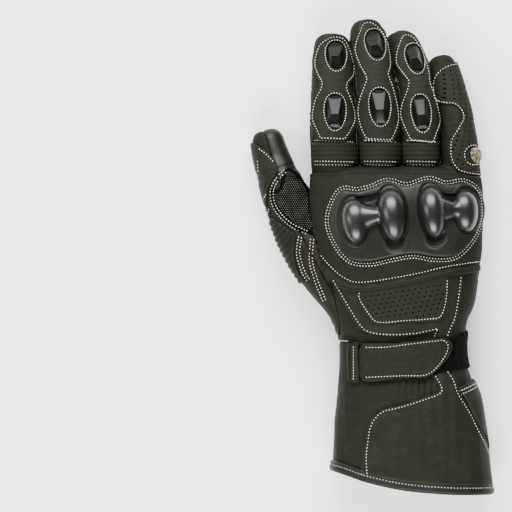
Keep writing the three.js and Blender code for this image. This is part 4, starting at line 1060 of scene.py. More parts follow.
def plateHeight(patch, d):
    px, py = patch.points[:, 0], patch.points[:, 1]
    rise = np.zeros(len(d))
    for dome in domeTable:
        reach = domeReach(patch.points, dome)
        rise += guardSize["moatEdge"] * bell(reach, 1.15, 0.09) - guardSize["moat"] * bell(reach, 1.0, 0.06)
    patch.values["shade"] = np.zeros(len(d))
    for vent in ventTable:  # slots sunk above the saddles, with painted shade in them
        slot = -insideOf(patch.points[:, :2], cornered(vent))
        rise = rise * ease(slot, -0.3, 0.5) - guardSize["slot"] * (1 - ease(slot, -0.5, 0.5))
        patch.values["shade"] = np.maximum(patch.values["shade"], 1 - ease(slot, -0.6, 0.5))
    for dome in domeTable[1:3]:  # scoops sunk behind the two long domes, with painted shade in them
        cx, cy, wide, long, _, lean = dome
        sx = cx + math.sin(math.radians(lean)) * (long - scoopSize["back"])
        sy = cy - math.cos(math.radians(lean)) * (long - scoopSize["back"])
        off = np.hypot((px - sx) / scoopSize["wide"], (py - sy) / scoopSize["long"])
        lip = scoopSize["lip"] * bell(off, 1.0, 0.13) * (1 - ease(py, sy - 4, sy + 1))
        rise += lip - guardSize["recess"] * (1 - ease(off, 0.55, 0.98))
        dark = scoopSize["shade"] * (1 - ease(off, 0.6, 0.95))
        patch.values["shade"] = np.maximum(patch.values["shade"], dark)
    # a low ridge between the two pairs of domes
    return rise + guardSize["ridge"] * np.exp(-((px - 8.5) / 5) ** 2) * ease(py, 6, 30)


laidOn("knucklePlate", "knuckle_plate", plateBase, toGuard, guardSize["low"],
       guardSize["high"] - guardSize["low"], round=guardSize["round"], rim=0.3, height=plateHeight,
       rings=(0.35, 0.9), slot="guard_satin")
sewn(np.array(guardLine[::-1]), closed=True, rows=(-1.5, -3.2))


def domePair(name, a, b, node):
    lofts = []
    for cx, cy, wide, long, tall, lean in (a, b):
        rings = []
        c, s = math.cos(math.radians(lean)), math.sin(math.radians(lean))
        base = bodyTop(cx, cy) + guardSize["high"] - domeSize["sink"]
        k = np.linspace(0, 2 * np.pi, domeSize["sides"], endpoint=False)
        # sections along the dome, each a rounded arch
        for t in np.linspace(-domeSize["end"], domeSize["end"], domeSize["sections"]):
            size = (1 - abs(t) ** 2.1) ** 0.5
            across = (wide + domeSize["wider"]) * size * (1 + domeSize["taper"] * t) * power(np.cos(k), 0.93)
            rise = np.where(np.sin(k) >= 0, (tall + domeSize["taller"]) * size * power(np.sin(k), 0.97),
                            domeSize["under"] * size * power(np.sin(k), 0.95))
            along = t * long
            fall = (bodyTop(cx - along * s, cy + along * c) - bodyTop(cx, cy)) * domeSize["follow"]
            rings.append(np.stack([cx + across * c - along * s, cy + across * s + along * c,
                                   base + rise + fall], axis=1))
        lofts.append((rings, domeSize["sides"]))
    (ax, ay), (bx, by) = a[:2], b[:2]
    rings = []
    k = np.linspace(0, 2 * np.pi, saddleSize["sides"], endpoint=False)
    # the saddle: wide at the first dome, narrow before the second, where it flares again
    for t in np.linspace(0, 1, saddleSize["sections"]):
        px, py = ax + (bx - ax) * t, ay + (by - ay) * t + saddleSize["shift"]
        flare = 1.3 * max(0.75 - t, 0) ** 1.3 + 5.0 * max(t - 0.6, 0) ** 2
        half = saddleSize["half"] + saddleSize["wider"] * flare
        tall = saddleSize["tall"] + saddleSize["taller"] * flare
        z0 = bodyTop(px, py) + guardSize["high"] - saddleSize["sink"]
        rise = np.where(np.sin(k) >= 0, tall, saddleSize["under"]) * power(np.sin(k), 0.97)
        rings.append(np.stack([np.full(len(k), px), py + half * power(np.cos(k), 0.95), z0 + rise], axis=1))
    lofts.append((rings, saddleSize["sides"]))
    patch = remeshed(name + "Blank", lofts, domeSize["voxel"], domeSize["smoothing"])
    foot = patch.points[:, 2] - bodyTop(patch.points[:, 0], patch.points[:, 1])
    foot = foot - (guardSize["low"] + domeSize["foot"])
    patch = patch.slice(foot).weld(0.05).biggest(0.2)
    normals = patch.normals()
    patch.values["edge"] = np.full(len(patch.points), noneNear)
    outerSurfaces.append((patch.points, patch.faces))
    dress(walled(name, patch, normals, domeSize["wall"]), "guard_gloss", node)


domePair("domesIndexSide", domeTable[0], domeTable[1], "knuckle_domes_index_side")
domePair("domesLittleSide", domeTable[2], domeTable[3], "knuckle_domes_little_side")
print("guard done")

# Back of the wrist: the shield, its perforated vent, the strap with its tape and keeper
shieldSize = dict(lift=0.3, thick=1.4, ventLift=1.75, ventThick=1.1)
shieldLine = [(-50, -8), (-42.8, -16.6), (-34, -32), (-23.2, -48), (-16, -50.6), (-1.3, -51.8),
              (13.4, -50.5), (25.6, -48.2), (24.6, -52.6), (32.4, -53.2), (34, -47.6), (37, -40),
              (39.6, -25.5), (41, -13.5), (44, -5), (20, -2), (-20, -8)]
ventLine = [(-26.4, -20), (-26.6, -27), (-21, -37), (-15, -43.4), (3, -43), (19.7, -41.9), (27, -40.9),
            (30.2, -34.4), (31.9, -23.4), (32.2, -12), (0, -12)]
rollFoot = smoothLine([(-66, 2), (-51, -6), (-42, -15.6), (-33, -21.5), (-24.4, -24), (-14, -22.3),
                       (3, -19.2), (18.6, -16.6), (34.4, -13.4), (60, -9.4)], False, 0.8)


def belowRoll(points):  # positive on the wrist side of the rolled edge
    return np.interp(points[:, 0], rollFoot[:, 0], rollFoot[:, 1]) - points[:, 1]


def lumpy(amount, size, seed):  # the uneven thickness of a laid piece
    return lambda patch, d: amount * noise(patch.points, size, seed)


base = hand.within(y=(-62, -4), upper=(3, far))
toShield, toVent = insideSmooth(base.points, shieldLine), insideSmooth(base.points, ventLine)
# the shield carries painted shade under the vent panel, where it shows through the holes
laidOn("wristShield", "wrist_shield", base, least(toShield, belowRoll(base.points) + 1.5),
       shieldSize["lift"], shieldSize["thick"], stitch=np.abs(toShield - 1.3),
       extra=dict(shade=ease(toVent, 0.6, 1.6)), height=lumpy(0.35, (16, 9, 16), 31))
x, y, z = base.points.T
perforated("ventPanel", "back_vent_panel", base, least(toVent, belowRoll(base.points) + 1.0), x + 0.30 * y,
           y - 0.16 * x, shieldSize["ventLift"], shieldSize["ventThick"], np.abs(toVent - 1.2), 3.2,
           size=dict(pitch=4.1, row=2.9, hole=0.66))
sewn([(-42, -15.6), (-33, -31), (-22.3, -47), (-16, -49.7), (-1.3, -50.7), (13.4, -49.4), (24.9, -46.9)],
     pitch=2.4)
sewn([(24.9, -46.9), (22.8, -52.5)], smooth=False, pitch=2.0)
sewn([(-25, -23.6), (-25.4, -26.6), (-20, -36), (-14.4, -42.3), (3, -41.8), (19.7, -40.7), (26, -39.7),
      (29, -34), (30.7, -23.4), (31, -15.6)], pitch=2.15)
sewn([(40, -13.5), (38.6, -25.5), (36, -40), (32.8, -47.6), (31.2, -52)], pitch=2.3)

strapSize = dict(tapeLift=0.3, tapeThick=1.2, strapLift=1.75, strapThick=1.9, keeperThick=1.3, keeperRise=3.6,
                 keeperSeam=-28.8)
strapLine = [(-23, -57.8), (-9.7, -57.2), (8, -55), (24, -53.2), (29.5, -53.0), (33.1, -56.6),
             (32.3, -62.5), (26, -72), (18.6, -77.7), (3, -78.4), (-23, -79.6)]
base = hand.within(y=(-90, -44))
onBack = base.values["upper"] > 2
flat = bodyAround(base.points)
tapeOuter = np.vstack([bodyFromPlan([(-28, -58.8), (0, -57), (34, -53.6), (41, -49.5)]),
                       bodyFromPlan([(38, -47), (30, -47)], palm=True),
                       bodyFromPlan([(30, -71), (38, -72)], palm=True),
                       bodyFromPlan([(41, -72.5), (30, -73.5), (-28, -78.4)])])
field = insideOf(flat, cornered(tapeOuter))
laidOn("strapTape", "strap_loop_tape", base, field, strapSize["tapeLift"], strapSize["tapeThick"], round=0.6,
       slot="loop_tape", height=lumpy(0.3, 1.6, 33))
toStrap = np.where(onBack, insideSmooth(base.points, strapLine, 0.7), -5)
laidOn("wristStrap", "wrist_strap", base, toStrap, strapSize["strapLift"], strapSize["strapThick"], round=1.1,
       rim=0.35, stitch=np.abs(toStrap - 1.6), height=lumpy(0.3, (14, 10, 14), 35))
sewn([(-21.4, -58.9), (-9.7, -58.8), (8, -56.6), (24, -54.8), (29, -54.6), (31.5, -57.4), (30.8, -62),
      (24.8, -71), (17.9, -76.1), (3, -76.8), (-21.4, -78.0)], pitch=2.2)
keeperLine = [(-30.4, -56.4), (-29.6, -55.6), (-25, -55.2), (-24.3, -56), (-24.3, -80.8), (-25, -81.4),
              (-29.6, -81.8), (-30.4, -81)]
toKeeper = np.where(onBack, insideOf(base.points[:, :2], cornered(keeperLine)), -5)
base.values["over"] = ease(base.points[:, 1], -81.6, -79.2) * (1 - ease(base.points[:, 1], -58.2, -55.8))
laidOn("strapKeeper", "strap_keeper", base, toKeeper, strapSize["tapeLift"], strapSize["keeperThick"],
       round=0.8, rim=0.4, stitch=np.abs(np.abs(base.points[:, 0] - strapSize["keeperSeam"]) - 0.2),
       drop=strapSize["keeperThick"],
       height=lambda patch, d: strapSize["keeperRise"] * patch.values["over"])
sewn([(strapSize["keeperSeam"], -58), (strapSize["keeperSeam"], -79.6)], smooth=False, pitch=2.0)
sewn([(-38.5, -54.6), (-32, -55)], smooth=False, pitch=1.9)
print("wrist done")

# Cuff: the stitched overlay, the closing flap that wraps to the palm side, its tab and the binding
cuffSize = dict(lift=0.3, thick=1.3, flapLift=0.5, flapThick=1.6, tabThick=1.3, hemHigh=5.9, hemLow=1.6)
bindingSize = dict(seam=2.9, groove=0.75, outside=2.1, inside=4.4)
overlayLine = [(21.4, -74), (24.6, -82), (26.2, -86.3), (15.5, -91), (-1.3, -96.2), (-9.7, -98.4),
               (-16.2, -103.2), (-19.4, -109.4), (-21.1, -119), (-22.1, -129.6), (-21.6, -165), (63, -165),
               (61.0, -136), (58.6, -125.4), (52.4, -111.6), (46.2, -99.2), (38.7, -87.1), (36.2, -79.4),
               (32.4, -73)]
base = hand.within(y=(-far, -68), upper=(-4, far))
toOverlay = insideSmooth(base.points, overlayLine, 0.9)
field = least(toOverlay, base.values["hem"] - cuffSize["hemHigh"] + 1.2, base.values["upper"] + 0.5,
              -76.0 - base.values["y"])
laidOn("cuffOverlay", "cuff_overlay", base, field, cuffSize["lift"], cuffSize["thick"],
       stitch=np.abs(toOverlay - 1.4), height=lumpy(0.5, (22, 34, 22), 41))
sewn([(23.3, -76.6), (27.5, -86.6), (15.5, -92.4), (-1.3, -97.6), (-9.7, -99.7), (-14.9, -104),
      (-18, -109.7), (-19.7, -119), (-20.7, -129.6), (-20.2, -140)], pitch=2.3)
sewn([(31, -74), (35, -80), (37.5, -87.7), (45, -100), (51, -112), (57.4, -125.4), (59.5, -136)], pitch=2.3)


def palmArc(flatBack, y):  # arc length measured from the middle of the palm side instead
    edge = bodyArcLength(y, np.full(len(y), np.pi))
    whole = edge - bodyArcLength(y, np.full(len(y), -np.pi))
    s = edge - flatBack
    return np.where(s > whole / 2, s - whole, s)


def palmFlat(points):
    return np.stack([palmArc(bodyAround(points)[:, 0], points[:, 1]), points[:, 1]], axis=1)


def palmFromPlan(plan, palm=True):
    flat = bodyFromPlan(plan, palm=palm)
    return np.stack([palmArc(flat[:, 0], flat[:, 1]), flat[:, 1]], axis=1)


zone = (hand.values["y"] < -70) & ((hand.values["upper"] < 3) | (hand.points[:, 0] > 30))
base = hand.facesWhere(zone)
flat = palmFlat(base.points)
flapBack = [(38.2, -84.9), (44, -82.4), (51, -79.4)]
flapLine = np.vstack([palmFromPlan([(-19, -97.8), (-13, -98.6), (10, -92.8), (30, -87), (46, -82)]),
                      palmFromPlan(flapBack[::-1], palm=False),
                      palmFromPlan([(38.2, -85.6), (45.8, -98.8), (52, -111.4), (58.2, -125.2),
                                    (60.5, -138)], palm=False),
                      palmFromPlan([(58, -133.4), (30, -133.6), (8, -136.6), (0.4, -137.2)])])
toFlap = insideOf(flat, cornered(flapLine))
field = np.minimum(toFlap, base.values["hem"] - cuffSize["hemHigh"] + 1.2)
laidOn("cuffFlap", "cuff_flap", base, field, cuffSize["flapLift"], cuffSize["flapThick"], round=1.0,
       stitch=least(np.abs(toFlap - 1.6), np.abs(toFlap - 3.9)), height=lumpy(0.45, (26, 20, 26), 43))
tabLine = palmFromPlan([(-20.5, -97), (-27.5, -95.6), (-28.6, -107), (-21, -120), (-14, -131), (-2, -138.6),
                        (8, -139), (4, -128)])
field = least(insideOf(flat, cornered(tabLine)), -(toFlap + 0.7),
              base.values["hem"] - cuffSize["hemHigh"] + 1.0)
laidOn("flapTab", "flap_tab", base, field, cuffSize["lift"], cuffSize["tabThick"], round=0.6,
       slot="loop_tape", height=lumpy(0.25, 1.6, 45))
sewn([(-15.4, -99.4), (10, -94.2), (30, -88.7), (49.5, -83.4)], below=True, rows=(0.0, 2.3))
sewn([(-14.6, -101.6), (2.2, -134.2)], below=True, rows=(-0.8, 1.4), smooth=False)
sewn([(4, -135.0), (30, -131.9), (57, -131.6)], below=True, rows=(0.0, 2.3))
sewn([(-21.6, -103), (-22, -116), (-13.5, -129.5), (-4, -136)], below=True)
sewn([(38.6, -87.0), (44.6, -84.4), (52.2, -81.2)])
sewn([(39.4, -89.2), (45.4, -86.6), (52.4, -83.4)])

base = hand.within(hem=(-4, 9))
base = base.slice(base.values["hem"] + cuffSize["hemLow"])
base = base.slice(cuffSize["hemHigh"] - base.values["hem"])
for at in (-0.9, 0.2, 1.6, 2.9, 4.4, 5.3):
    base = base.slice(base.values["hem"] - at, keepBelow=True)
base = base.weld(0.08).biggest(0.1)
t = (base.values["hem"] + cuffSize["hemLow"]) / (cuffSize["hemHigh"] + cuffSize["hemLow"])
normals = base.outward()
folded = np.sqrt(np.clip(1 - np.abs(2 * t - 1) ** 3.2, 0, 1))
fromSeam = base.values["hem"] - bindingSize["seam"]
bulge = bindingSize["outside"] * folded - bindingSize["groove"] * np.exp(-(fromSeam / 0.55) ** 2) - 0.3
base.points = base.points + normals * bulge[:, None]
base.values["edge"] = np.full(len(t), noneNear)
base.values["stitch"] = np.abs(fromSeam)
settled(base)
inner = bindingSize["inside"] * folded + bulge * 0.3
dress(walled("cuffBinding", base, normals, inner), "binding", "cuff_binding")
hemAcross = np.linspace(-41.6, 59.4, 90)
hemStitch = np.stack([hemAcross, hemAt(hemAcross) + bindingSize["seam"]], axis=1)
sewn(hemStitch, smooth=False, pitch=2.4)
sewn(hemStitch[::-1], below=True, smooth=False, pitch=2.4)
print("cuff done")

# Palm side: padded heel, perforated teardrop, grip mesh and the thumb's pieces
palmSize = dict(lift=0.25, thick=1.55, round=1.3, gripThick=1.0, dropThick=1.2)
heelOuter = np.vstack([palmFromPlan([(-43.4, 3.4), (-38.5, 8.2), (-15, 9.8), (6.5, 7.8), (20, 12.4),
                                     (29.2, 21), (33.6, 30), (37.2, 41), (51.5, 42.6)]),
                       palmFromPlan([(52.4, 10), (51.4, -10), (45.6, -37.5)]),
                       palmFromPlan([(35, -38.4), (21, -38.5), (-15, -38.4), (-30, -38.2), (-33, -36.5),
                                     (-38, -27), (-41, -12)])])
base = hand.within(y=(-46, 50), upper=(-far, -1))
flat = palmFlat(base.points)
toHeel = insideSmooth(flat, heelOuter, 1.0)
dropLine = palmFromPlan([(50.5, 16), (44, 14.7), (30.6, 1.7), (22.7, -10), (21.4, -22), (28, -31),
                         (41, -34), (46.5, -33), (51, -10)])
toDrop = insideSmooth(flat, dropLine)
thumbRoom = -base.values["thumb"] - 0.5


def heelHeight(patch, d):  # the crown of the padding inside its stitched border
    lumps = 0.3 * noise(patch.points, (14, 14, 14), 51)
    return 0.5 * roundEdge(d - 4.5, 6) + lumps - 0.35 * bell(d, 4.6, 1.0)


heelPad = laidOn("heelPad", "heel_pad", base, least(toHeel, -(toDrop + 0.2), thumbRoom), palmSize["lift"],
                 palmSize["thick"], round=palmSize["round"], height=heelHeight, slot="pad_leather",
                 stitch=least(np.abs(toHeel - 1.6), np.abs(toHeel - 3.7)))[0]
x, y, z = base.points.T
perforated("heelTeardrop", "heel_teardrop", base, least(toDrop, thumbRoom), x + 0.2 * y, y, palmSize["lift"],
           palmSize["dropThick"], np.abs(toDrop - 1.2), 2.6, size=dict(pitch=3.6, row=3.0, hole=0.52))
sewn([(-40, 3.6), (-36, 6.2), (-15, 7.8), (6, 5.8), (18.6, 10.4), (27.6, 19.4), (31.8, 28.6), (35.6, 39.4),
      (50.5, 40.8)], below=True, rows=(0.0, -2.1))
sewn([(-39.6, -11), (-36.4, -26.4), (-31.6, -35.4), (-15, -36.8), (21, -36.9), (41, -36.6)], below=True,
     rows=(0.0, 2.1))
sewn([(44, 13.4), (31.4, 1), (23.9, -10), (22.7, -21.4), (28.6, -29.6), (41, -32.6)], below=True)

gripLine = [(-56, 92), (-40.4, 92), (-38.6, 80), (-37.4, 67), (-33.2, 55.6), (-28, 58), (-23, 65),
            (-19.2, 73.8), (-12, 72.8), (-8.3, 60), (-4.4, 57), (0, 70), (2.8, 74.8), (11, 72.8),
            (15.8, 58), (22.8, 49), (29.4, 41.4), (28.2, 34.8), (8.4, 37.6), (-17.7, 38.6), (-28.2, 33.8),
            (-35.2, 21.2), (-44, 17.6), (-57, 22)]
base = hand.within(y=(10, 96), upper=(-far, 0), x=(-far, 34))
toGrip = insideSmooth(base.points, gripLine)
field = least(toGrip, -base.values["upper"] - 4.2, -base.values["thumb"] - 0.5, base.values["notFour"])
palmGripPatch = laidOn("palmGrip", "palm_grip_patch", base, field, palmSize["lift"], palmSize["gripThick"],
                       round=0.7, stitch=np.abs(toGrip - 1.3), slot="grip_mesh")[1]
sewn([(-50, 90.7), (-41.6, 90.7), (-39.8, 79), (-38.6, 67), (-33.6, 57.2), (-29, 59.4), (-24, 66),
      (-19.8, 72.5), (-12.5, 71.4), (-9.6, 60), (-4.4, 58.6), (-1, 70), (3.2, 73.5), (10.2, 71.4),
      (14.6, 57), (22, 48), (28, 41), (26.8, 36), (8.4, 39), (-17.7, 40), (-29, 35), (-36, 22.4), (-44, 19),
      (-50, 20.6)], below=True)
sewn([(-50, 88.7), (-43.6, 88.7), (-41.9, 78), (-40.6, 66), (-34.6, 53.6), (-28.6, 56.6)], below=True)
sewn([(10, 69.4), (12.8, 56.2), (20.6, 46.8), (25.2, 40.6), (8.4, 41.1), (-17.7, 42.1), (-29.8, 37),
      (-37.4, 24.4), (-44, 21.2), (-50, 22.6)], below=True)
sewn([(-38.4, -54.6), (43, -54.6)], below=True, smooth=False, pitch=2.3)
sewn([(-26.2, 33.7), (-16.4, 20), (-14.6, 10)], below=True, rows=(0.0, 2.1))

thumbSize = dict(lift=0.3, thick=1.2, gripThick=1.0, ribPitch=2.9, ribBend=0.0125, ribFoot=0.4, rib=1.2)
base = hand.within(thumb=(-0.5, far), y=(-50, far))
toThumb = base.values["thumb"] - 0.4
gripPlan = [(-76.6, 42), (-74.4, 50.4), (-71.4, 55.2), (-66.4, 53.6), (-60, 46), (-53, 34), (-50, 12),
            (-56.6, 13.6), (-66.4, 17.4), (-73, 23), (-78.6, 30), (-80.6, 37), (-81, 42)]
toGrip = insideSmooth(base.points, gripPlan)
field = least(toGrip, base.points[:, 2] - 14.5, toThumb)
thumbGripPatch = laidOn("thumbGrip", "thumb_grip_patch", base, field, thumbSize["lift"],
                        thumbSize["gripThick"], round=0.7, stitch=np.abs(toGrip - 1.2), slot="grip_mesh")[1]
sewn([(-71.2, 53.6), (-75.4, 49.4), (-79.6, 41.6), (-78.8, 33), (-73.2, 24.6), (-66, 19), (-57.4, 15.2)],
     rows=(0.0, -2.0))
outerPlan = [(-98, 73), (-89.2, 70.0), (-83.6, 66), (-78.8, 60.6), (-76.8, 54.5), (-80.6, 47.6),
             (-83.2, 41), (-83.6, 33), (-81.2, 27), (-84, 22.4), (-98, 20)]
toOuter = insideSmooth(base.points, outerPlan)
laidOn("thumbOverlay", "thumb_overlay", base, least(toOuter, base.points[:, 2] - 5.5, toThumb),
       thumbSize["lift"], thumbSize["thick"], stitch=np.abs(toOuter - 1.3))
sewn([(-84.4, 39.4), (-86.2, 35.8)], smooth=False, pitch=1.9)
sewn([(-82.2, 30.6), (-84.6, 24.4)], smooth=False, pitch=1.9)
sewn([(-90.0, 61), (-89.6, 53)], smooth=False, pitch=1.9)
ribPlan = [(-98, 25), (-81, 24.6), (-76.4, 21.4), (-70, 16.4), (-65.6, 12.6), (-66.6, 1), (-62.6, -12.6),
           (-60, -16), (-72, -24), (-90, -6)]
toRibs = insideSmooth(base.points, ribPlan)
ribX, ribY = base.points[:, 0] + 72, base.points[:, 1] - 10
ribDown = np.maximum(-0.55 * ribX - 0.83 * ribY, 0)
ribT = (0.83 * ribX - 0.55 * ribY - thumbSize["ribBend"] * ribDown ** 2) / thumbSize["ribPitch"]
base.values["ribT"] = ribT


def thumbRibs(patch, d):
    return thumbSize["rib"] * np.abs(np.sin(np.pi * patch.values["ribT"])) ** 0.45 * np.clip(d / 1.6, 0.3, 1)


laidOn("thumbRibs", "thumb_ribbed_panel", base, least(toRibs, base.points[:, 2] - 8, toThumb),
       thumbSize["lift"], thumbSize["ribFoot"], round=0.6, height=thumbRibs, rings=(0.7,), fine=1,
       slot="back_leather", stitch=np.abs(ribT - np.round(ribT)) * thumbSize["ribPitch"] + 0.15)
sewn([(-63.6, 12.6), (-65, 1), (-61, -12.4), (-58, -17)], rows=(0.0, 2.0))
sewn([(-56, 11), (-56.8, -4), (-53.6, -16), (-48, -30)], rows=(0.0, 2.0))
sewn([(-89.4, 68.4), (-84.4, 64.6), (-79.6, 59.6)])
print("palm and thumb done")

# Studs: faceted prisms in the finger windows
studTable = dict(  # finger, foot x, y, half width, half length, lean
    index_stud_near=("index", -40.6, 91, 5.5, 10.0, 0), index_stud_far=("index", -40.0, 127, 5.2, 8.2, 2),
    middle_stud_near=("middle", -12, 94, 5.5, 10.4, 3), middle_stud_far=("middle", -15.4, 134, 5.1, 8.4, 11),
    ring_stud_near=("ring", 14.5, 90.4, 4.9, 10.2, 6), ring_stud_far=("ring", 10.2, 125.6, 4.5, 8.2, 14))
studSize = dict(ridge=2.2, peak=4.7, front=1.5, back=2.1, foot=0.7, sink=2.0, peakAt=-0.18, bevel=0.32)
for node, (finger, cx, cy, wide, long, lean) in studTable.items():
    base = fingerBase[finger]
    tree = BVHTree.FromPolygons(base.points.tolist(), base.faces.tolist(), all_triangles=True)
    c, s = math.cos(math.radians(lean)), math.sin(math.radians(lean))
    front, back, middle = [tree.ray_cast(Vector((cx - b * s, cy + b * c, 90)), Vector((0, 0, -1)))[0]
                           for b in (long * 0.7, -long * 0.7, 0)]
    ahead = np.array((front - back).normalized())
    side = np.array((c, s, 0.0))
    up = np.cross(side, ahead)
    up /= np.linalg.norm(up)
    origin = (np.array(front) + np.array(back)) / 2 * 0.5 + np.array(middle) * 0.5
    corners = []
    for z in (-studSize["sink"], studSize["foot"]):
        corners += [(sx * wide * a, sy * long * b, z) for sx in (-1, 1) for sy in (-1, 1)
                    for a, b in ((0.78, 1.0), (1.0, 0.72))]
    for b, z, ridge in ((0.86, studSize["front"], 1.0), (studSize["peakAt"], studSize["peak"], 1.06),
                        (-0.80, studSize["back"], 1.0)):
        corners += [(sx * studSize["ridge"] * ridge, b * long, z) for sx in (-1, 1)]
    shape = bmesh.new()
    for a, b, z in corners:
        shape.verts.new((origin + side * a + ahead * b + up * z + gloveShift) / 1000)
    hull = bmesh.ops.convex_hull(shape, input=shape.verts)
    spare = [g for g in hull["geom_interior"] + hull["geom_unused"] if isinstance(g, bmesh.types.BMVert)]
    bmesh.ops.delete(shape, geom=spare, context="VERTS")
    bmesh.ops.dissolve_limit(shape, angle_limit=0.03, verts=shape.verts, edges=shape.edges)
    bmesh.ops.recalc_face_normals(shape, faces=shape.faces)
    mesh = bpy.data.meshes.new(finger + "Stud" + node.split("_")[2].capitalize())
    shape.to_mesh(mesh)
    shape.free()
    mesh.shade_smooth()
    stud = linked(mesh.name, mesh)
    bevel = stud.modifiers.new("edges", "BEVEL")
    bevel.width, bevel.segments, bevel.harden_normals = studSize["bevel"] / 1000, 3, True
    bevel.limit_method, bevel.angle_limit = "ANGLE", math.radians(12)
    dress(stud, "stud_plastic", node)
print("studs done")


# Badge: a round brassy stud, knurled on top
def lathed(name, profile, origin, axes, sides=48):  # turns (radius, height) pairs round the third axis
    k = np.linspace(0, 2 * np.pi, sides, endpoint=False)[:, None]
    rings = [origin + r * np.cos(k) * axes[0] + r * np.sin(k) * axes[1] + h * axes[2] for r, h in profile]
    return meshFrom(name, np.concatenate(rings), loftFaces(len(rings), sides))


badgeAt = np.array([badge["x"], badge["y"], badge["z"]])
badgeTree = BVHTree.FromPolygons(hand.points.tolist(), hand.faces.tolist(), all_triangles=True)
badgeHit = badgeTree.ray_cast(Vector(badgeAt + badgeAxes[2] * 30), Vector(-badgeAxes[2]))[0]
badgeFoot = np.array(badgeHit) if badgeHit else badgeAt
badgeProfile = [(4.7, -4.2), (4.8, -1.8), (5.0, -0.6), (5.05, 0.4), (4.8, 0.8), (4.5, 0.9), (4.3, 0.85),
                (3.6, 1.15), (2.6, 1.75), (1.4, 2.1), (0.25, 2.2)]
dress(lathed("badgeDisc", badgeProfile, badgeFoot, badgeAxes), "badge_metal", "side_badge")
knurlSize = dict(pitch=0.78, reach=4.4, high=2.25, fall=1.45, radius=4.2, length=1.05, width=0.75, tall=0.9)
knurlAt = np.array([(i + 0.5 * (j % 2), j * 0.87) for j in range(-7, 8) for i in range(-8, 9)], float)
knurlAt = knurlAt * knurlSize["pitch"]
knurlAt = knurlAt[np.hypot(*knurlAt.T) < knurlSize["reach"]]
knurlRise = knurlSize["high"] - knurlSize["fall"] * (np.hypot(*knurlAt.T)[:, None] / knurlSize["radius"]) ** 2
knurlPoints = badgeFoot + knurlAt[:, :1] * badgeAxes[0] + knurlAt[:, 1:] * badgeAxes[1]
knurlPoints = knurlPoints + badgeAxes[2] * knurlRise


def dotPlaces(patch, pitch, row, below, clear=1.2):  # lattice points on a patch, seen from above or below
    tree = BVHTree.FromPolygons(patch.points.tolist(), patch.faces.tolist(), all_triangles=True)
    low, high = patch.points.min(axis=0), patch.points.max(axis=0)
    start, way = (low[2] - 20, Vector((0, 0, 1))) if below else (high[2] + 20, Vector((0, 0, -1)))
    at, ups = [], []
    for j, py in enumerate(np.arange(low[1], high[1], row)):
        for px in np.arange(low[0] + (j % 2) * pitch / 2, high[0], pitch):
            place, normal, face, _ = tree.ray_cast(Vector((px, py, start)), way)
            if place is None or abs(normal[2]) < 0.25:
                continue
            corners = patch.faces[face]
            if patch.values["edge"][corners].min() > clear and patch.values["stitch"][corners].min() > 0.75:
                at.append(place[:])
                ups.append((normal if normal.dot(way) < 0 else -normal)[:])
    return np.array(at), np.array(ups)


dotSize = dict(palm=(1.65, 1.45), thumb=(1.4, 1.2), wide=0.72, tall=0.46)
palmDots = dotPlaces(palmGripPatch, *dotSize["palm"], True)
thumbDots = dotPlaces(thumbGripPatch, *dotSize["thumb"], False)
print("dots", len(palmDots[0]), len(thumbDots[0]), "knurls", len(knurlAt))

# Stitches: laid on what a ray meets, then made by Geometry Nodes, one thread for each point
rayPoints, rayFaces = [], []
for points, faces in outerSurfaces:
    rayFaces.append(faces + sum(len(p) for p in rayPoints))
    rayPoints.append(points)
rayTree = BVHTree.FromPolygons(np.concatenate(rayPoints).tolist(), np.concatenate(rayFaces).tolist(),
                               all_triangles=True)
rayFrom = dict(below=-40.0, above=120.0)


def dropped(line, below):  # what a plan line meets from above or from below: points and normals
    start, way = (rayFrom["below"], Vector((0, 0, 1))) if below else (rayFrom["above"], Vector((0, 0, -1)))
    hits, normals = [], []
    for px, py in line:
        place, normal, _, _ = rayTree.ray_cast(Vector((px, py, start)), way)
        if place is None:
            continue
        if normal.dot(way) > 0:
            normal = -normal
        hits.append(place[:])
        normals.append(normal[:])
    return np.array(hits), np.array(normals)


threadSize = dict(length=0.96, width=0.62, height=0.5, sink=0.04, jump=2.2, closer=0.87)
threadAt, threadWay, threadUp = [], [], []
for line, below, pitch in stitchRows:
    hits, normals = dropped(line, below)
    if len(hits) < 3:
        continue
    breaks = np.flatnonzero(np.linalg.norm(np.diff(hits, axis=0), axis=1) > threadSize["jump"]) + 1
    for run, runNormals in zip(np.split(hits, breaks), np.split(normals, breaks)):
        if len(run) < 4:
            continue
        kernel = np.ones(5) / 5
        padded = np.pad(runNormals, ((2, 2), (0, 0)), mode="edge")
        smoothed = np.stack([np.convolve(padded[:, c], kernel, "valid") for c in range(3)], axis=1)
        both = resampled(np.hstack([run, smoothed]), 0.25)
        span = np.concatenate([[0], np.cumsum(np.linalg.norm(np.diff(both[:, :3], axis=0), axis=1))])
        count = max(1, int(span[-1] / (pitch * threadSize["closer"])))
        at = (np.arange(count) + 0.5) * span[-1] / count
        place = np.stack([np.interp(at, span, both[:, c]) for c in range(6)], axis=1)
        ahead = np.stack([np.interp(at + 0.5, span, both[:, c]) - np.interp(at - 0.5, span, both[:, c])
                          for c in range(3)], axis=1)
        up = place[:, 3:] / np.linalg.norm(place[:, 3:], axis=1, keepdims=True)
        threadAt.append(place[:, :3] + up * threadSize["sink"])
        threadWay.append(ahead)
        threadUp.append(up)
threadAt, threadWay, threadUp = np.concatenate(threadAt), np.concatenate(threadWay), np.concatenate(threadUp)
threadAt[:, 2] = np.maximum(threadAt[:, 2], skin["restZ"])
print("stitches", len(threadAt))


# one node: its settings first, then the values or links of its sockets
def nodeOf(tree, kind, at=None, **settings):
    node = tree.nodes.new(kind)
    for key, value in settings.items():
        setattr(node, key, value)
    for key, value in (at or {}).items():
        socket = node.inputs[key]
        if isinstance(value, bpy.types.NodeSocket):
            tree.links.new(value, socket)
        else:
            socket.default_value = value
    return node


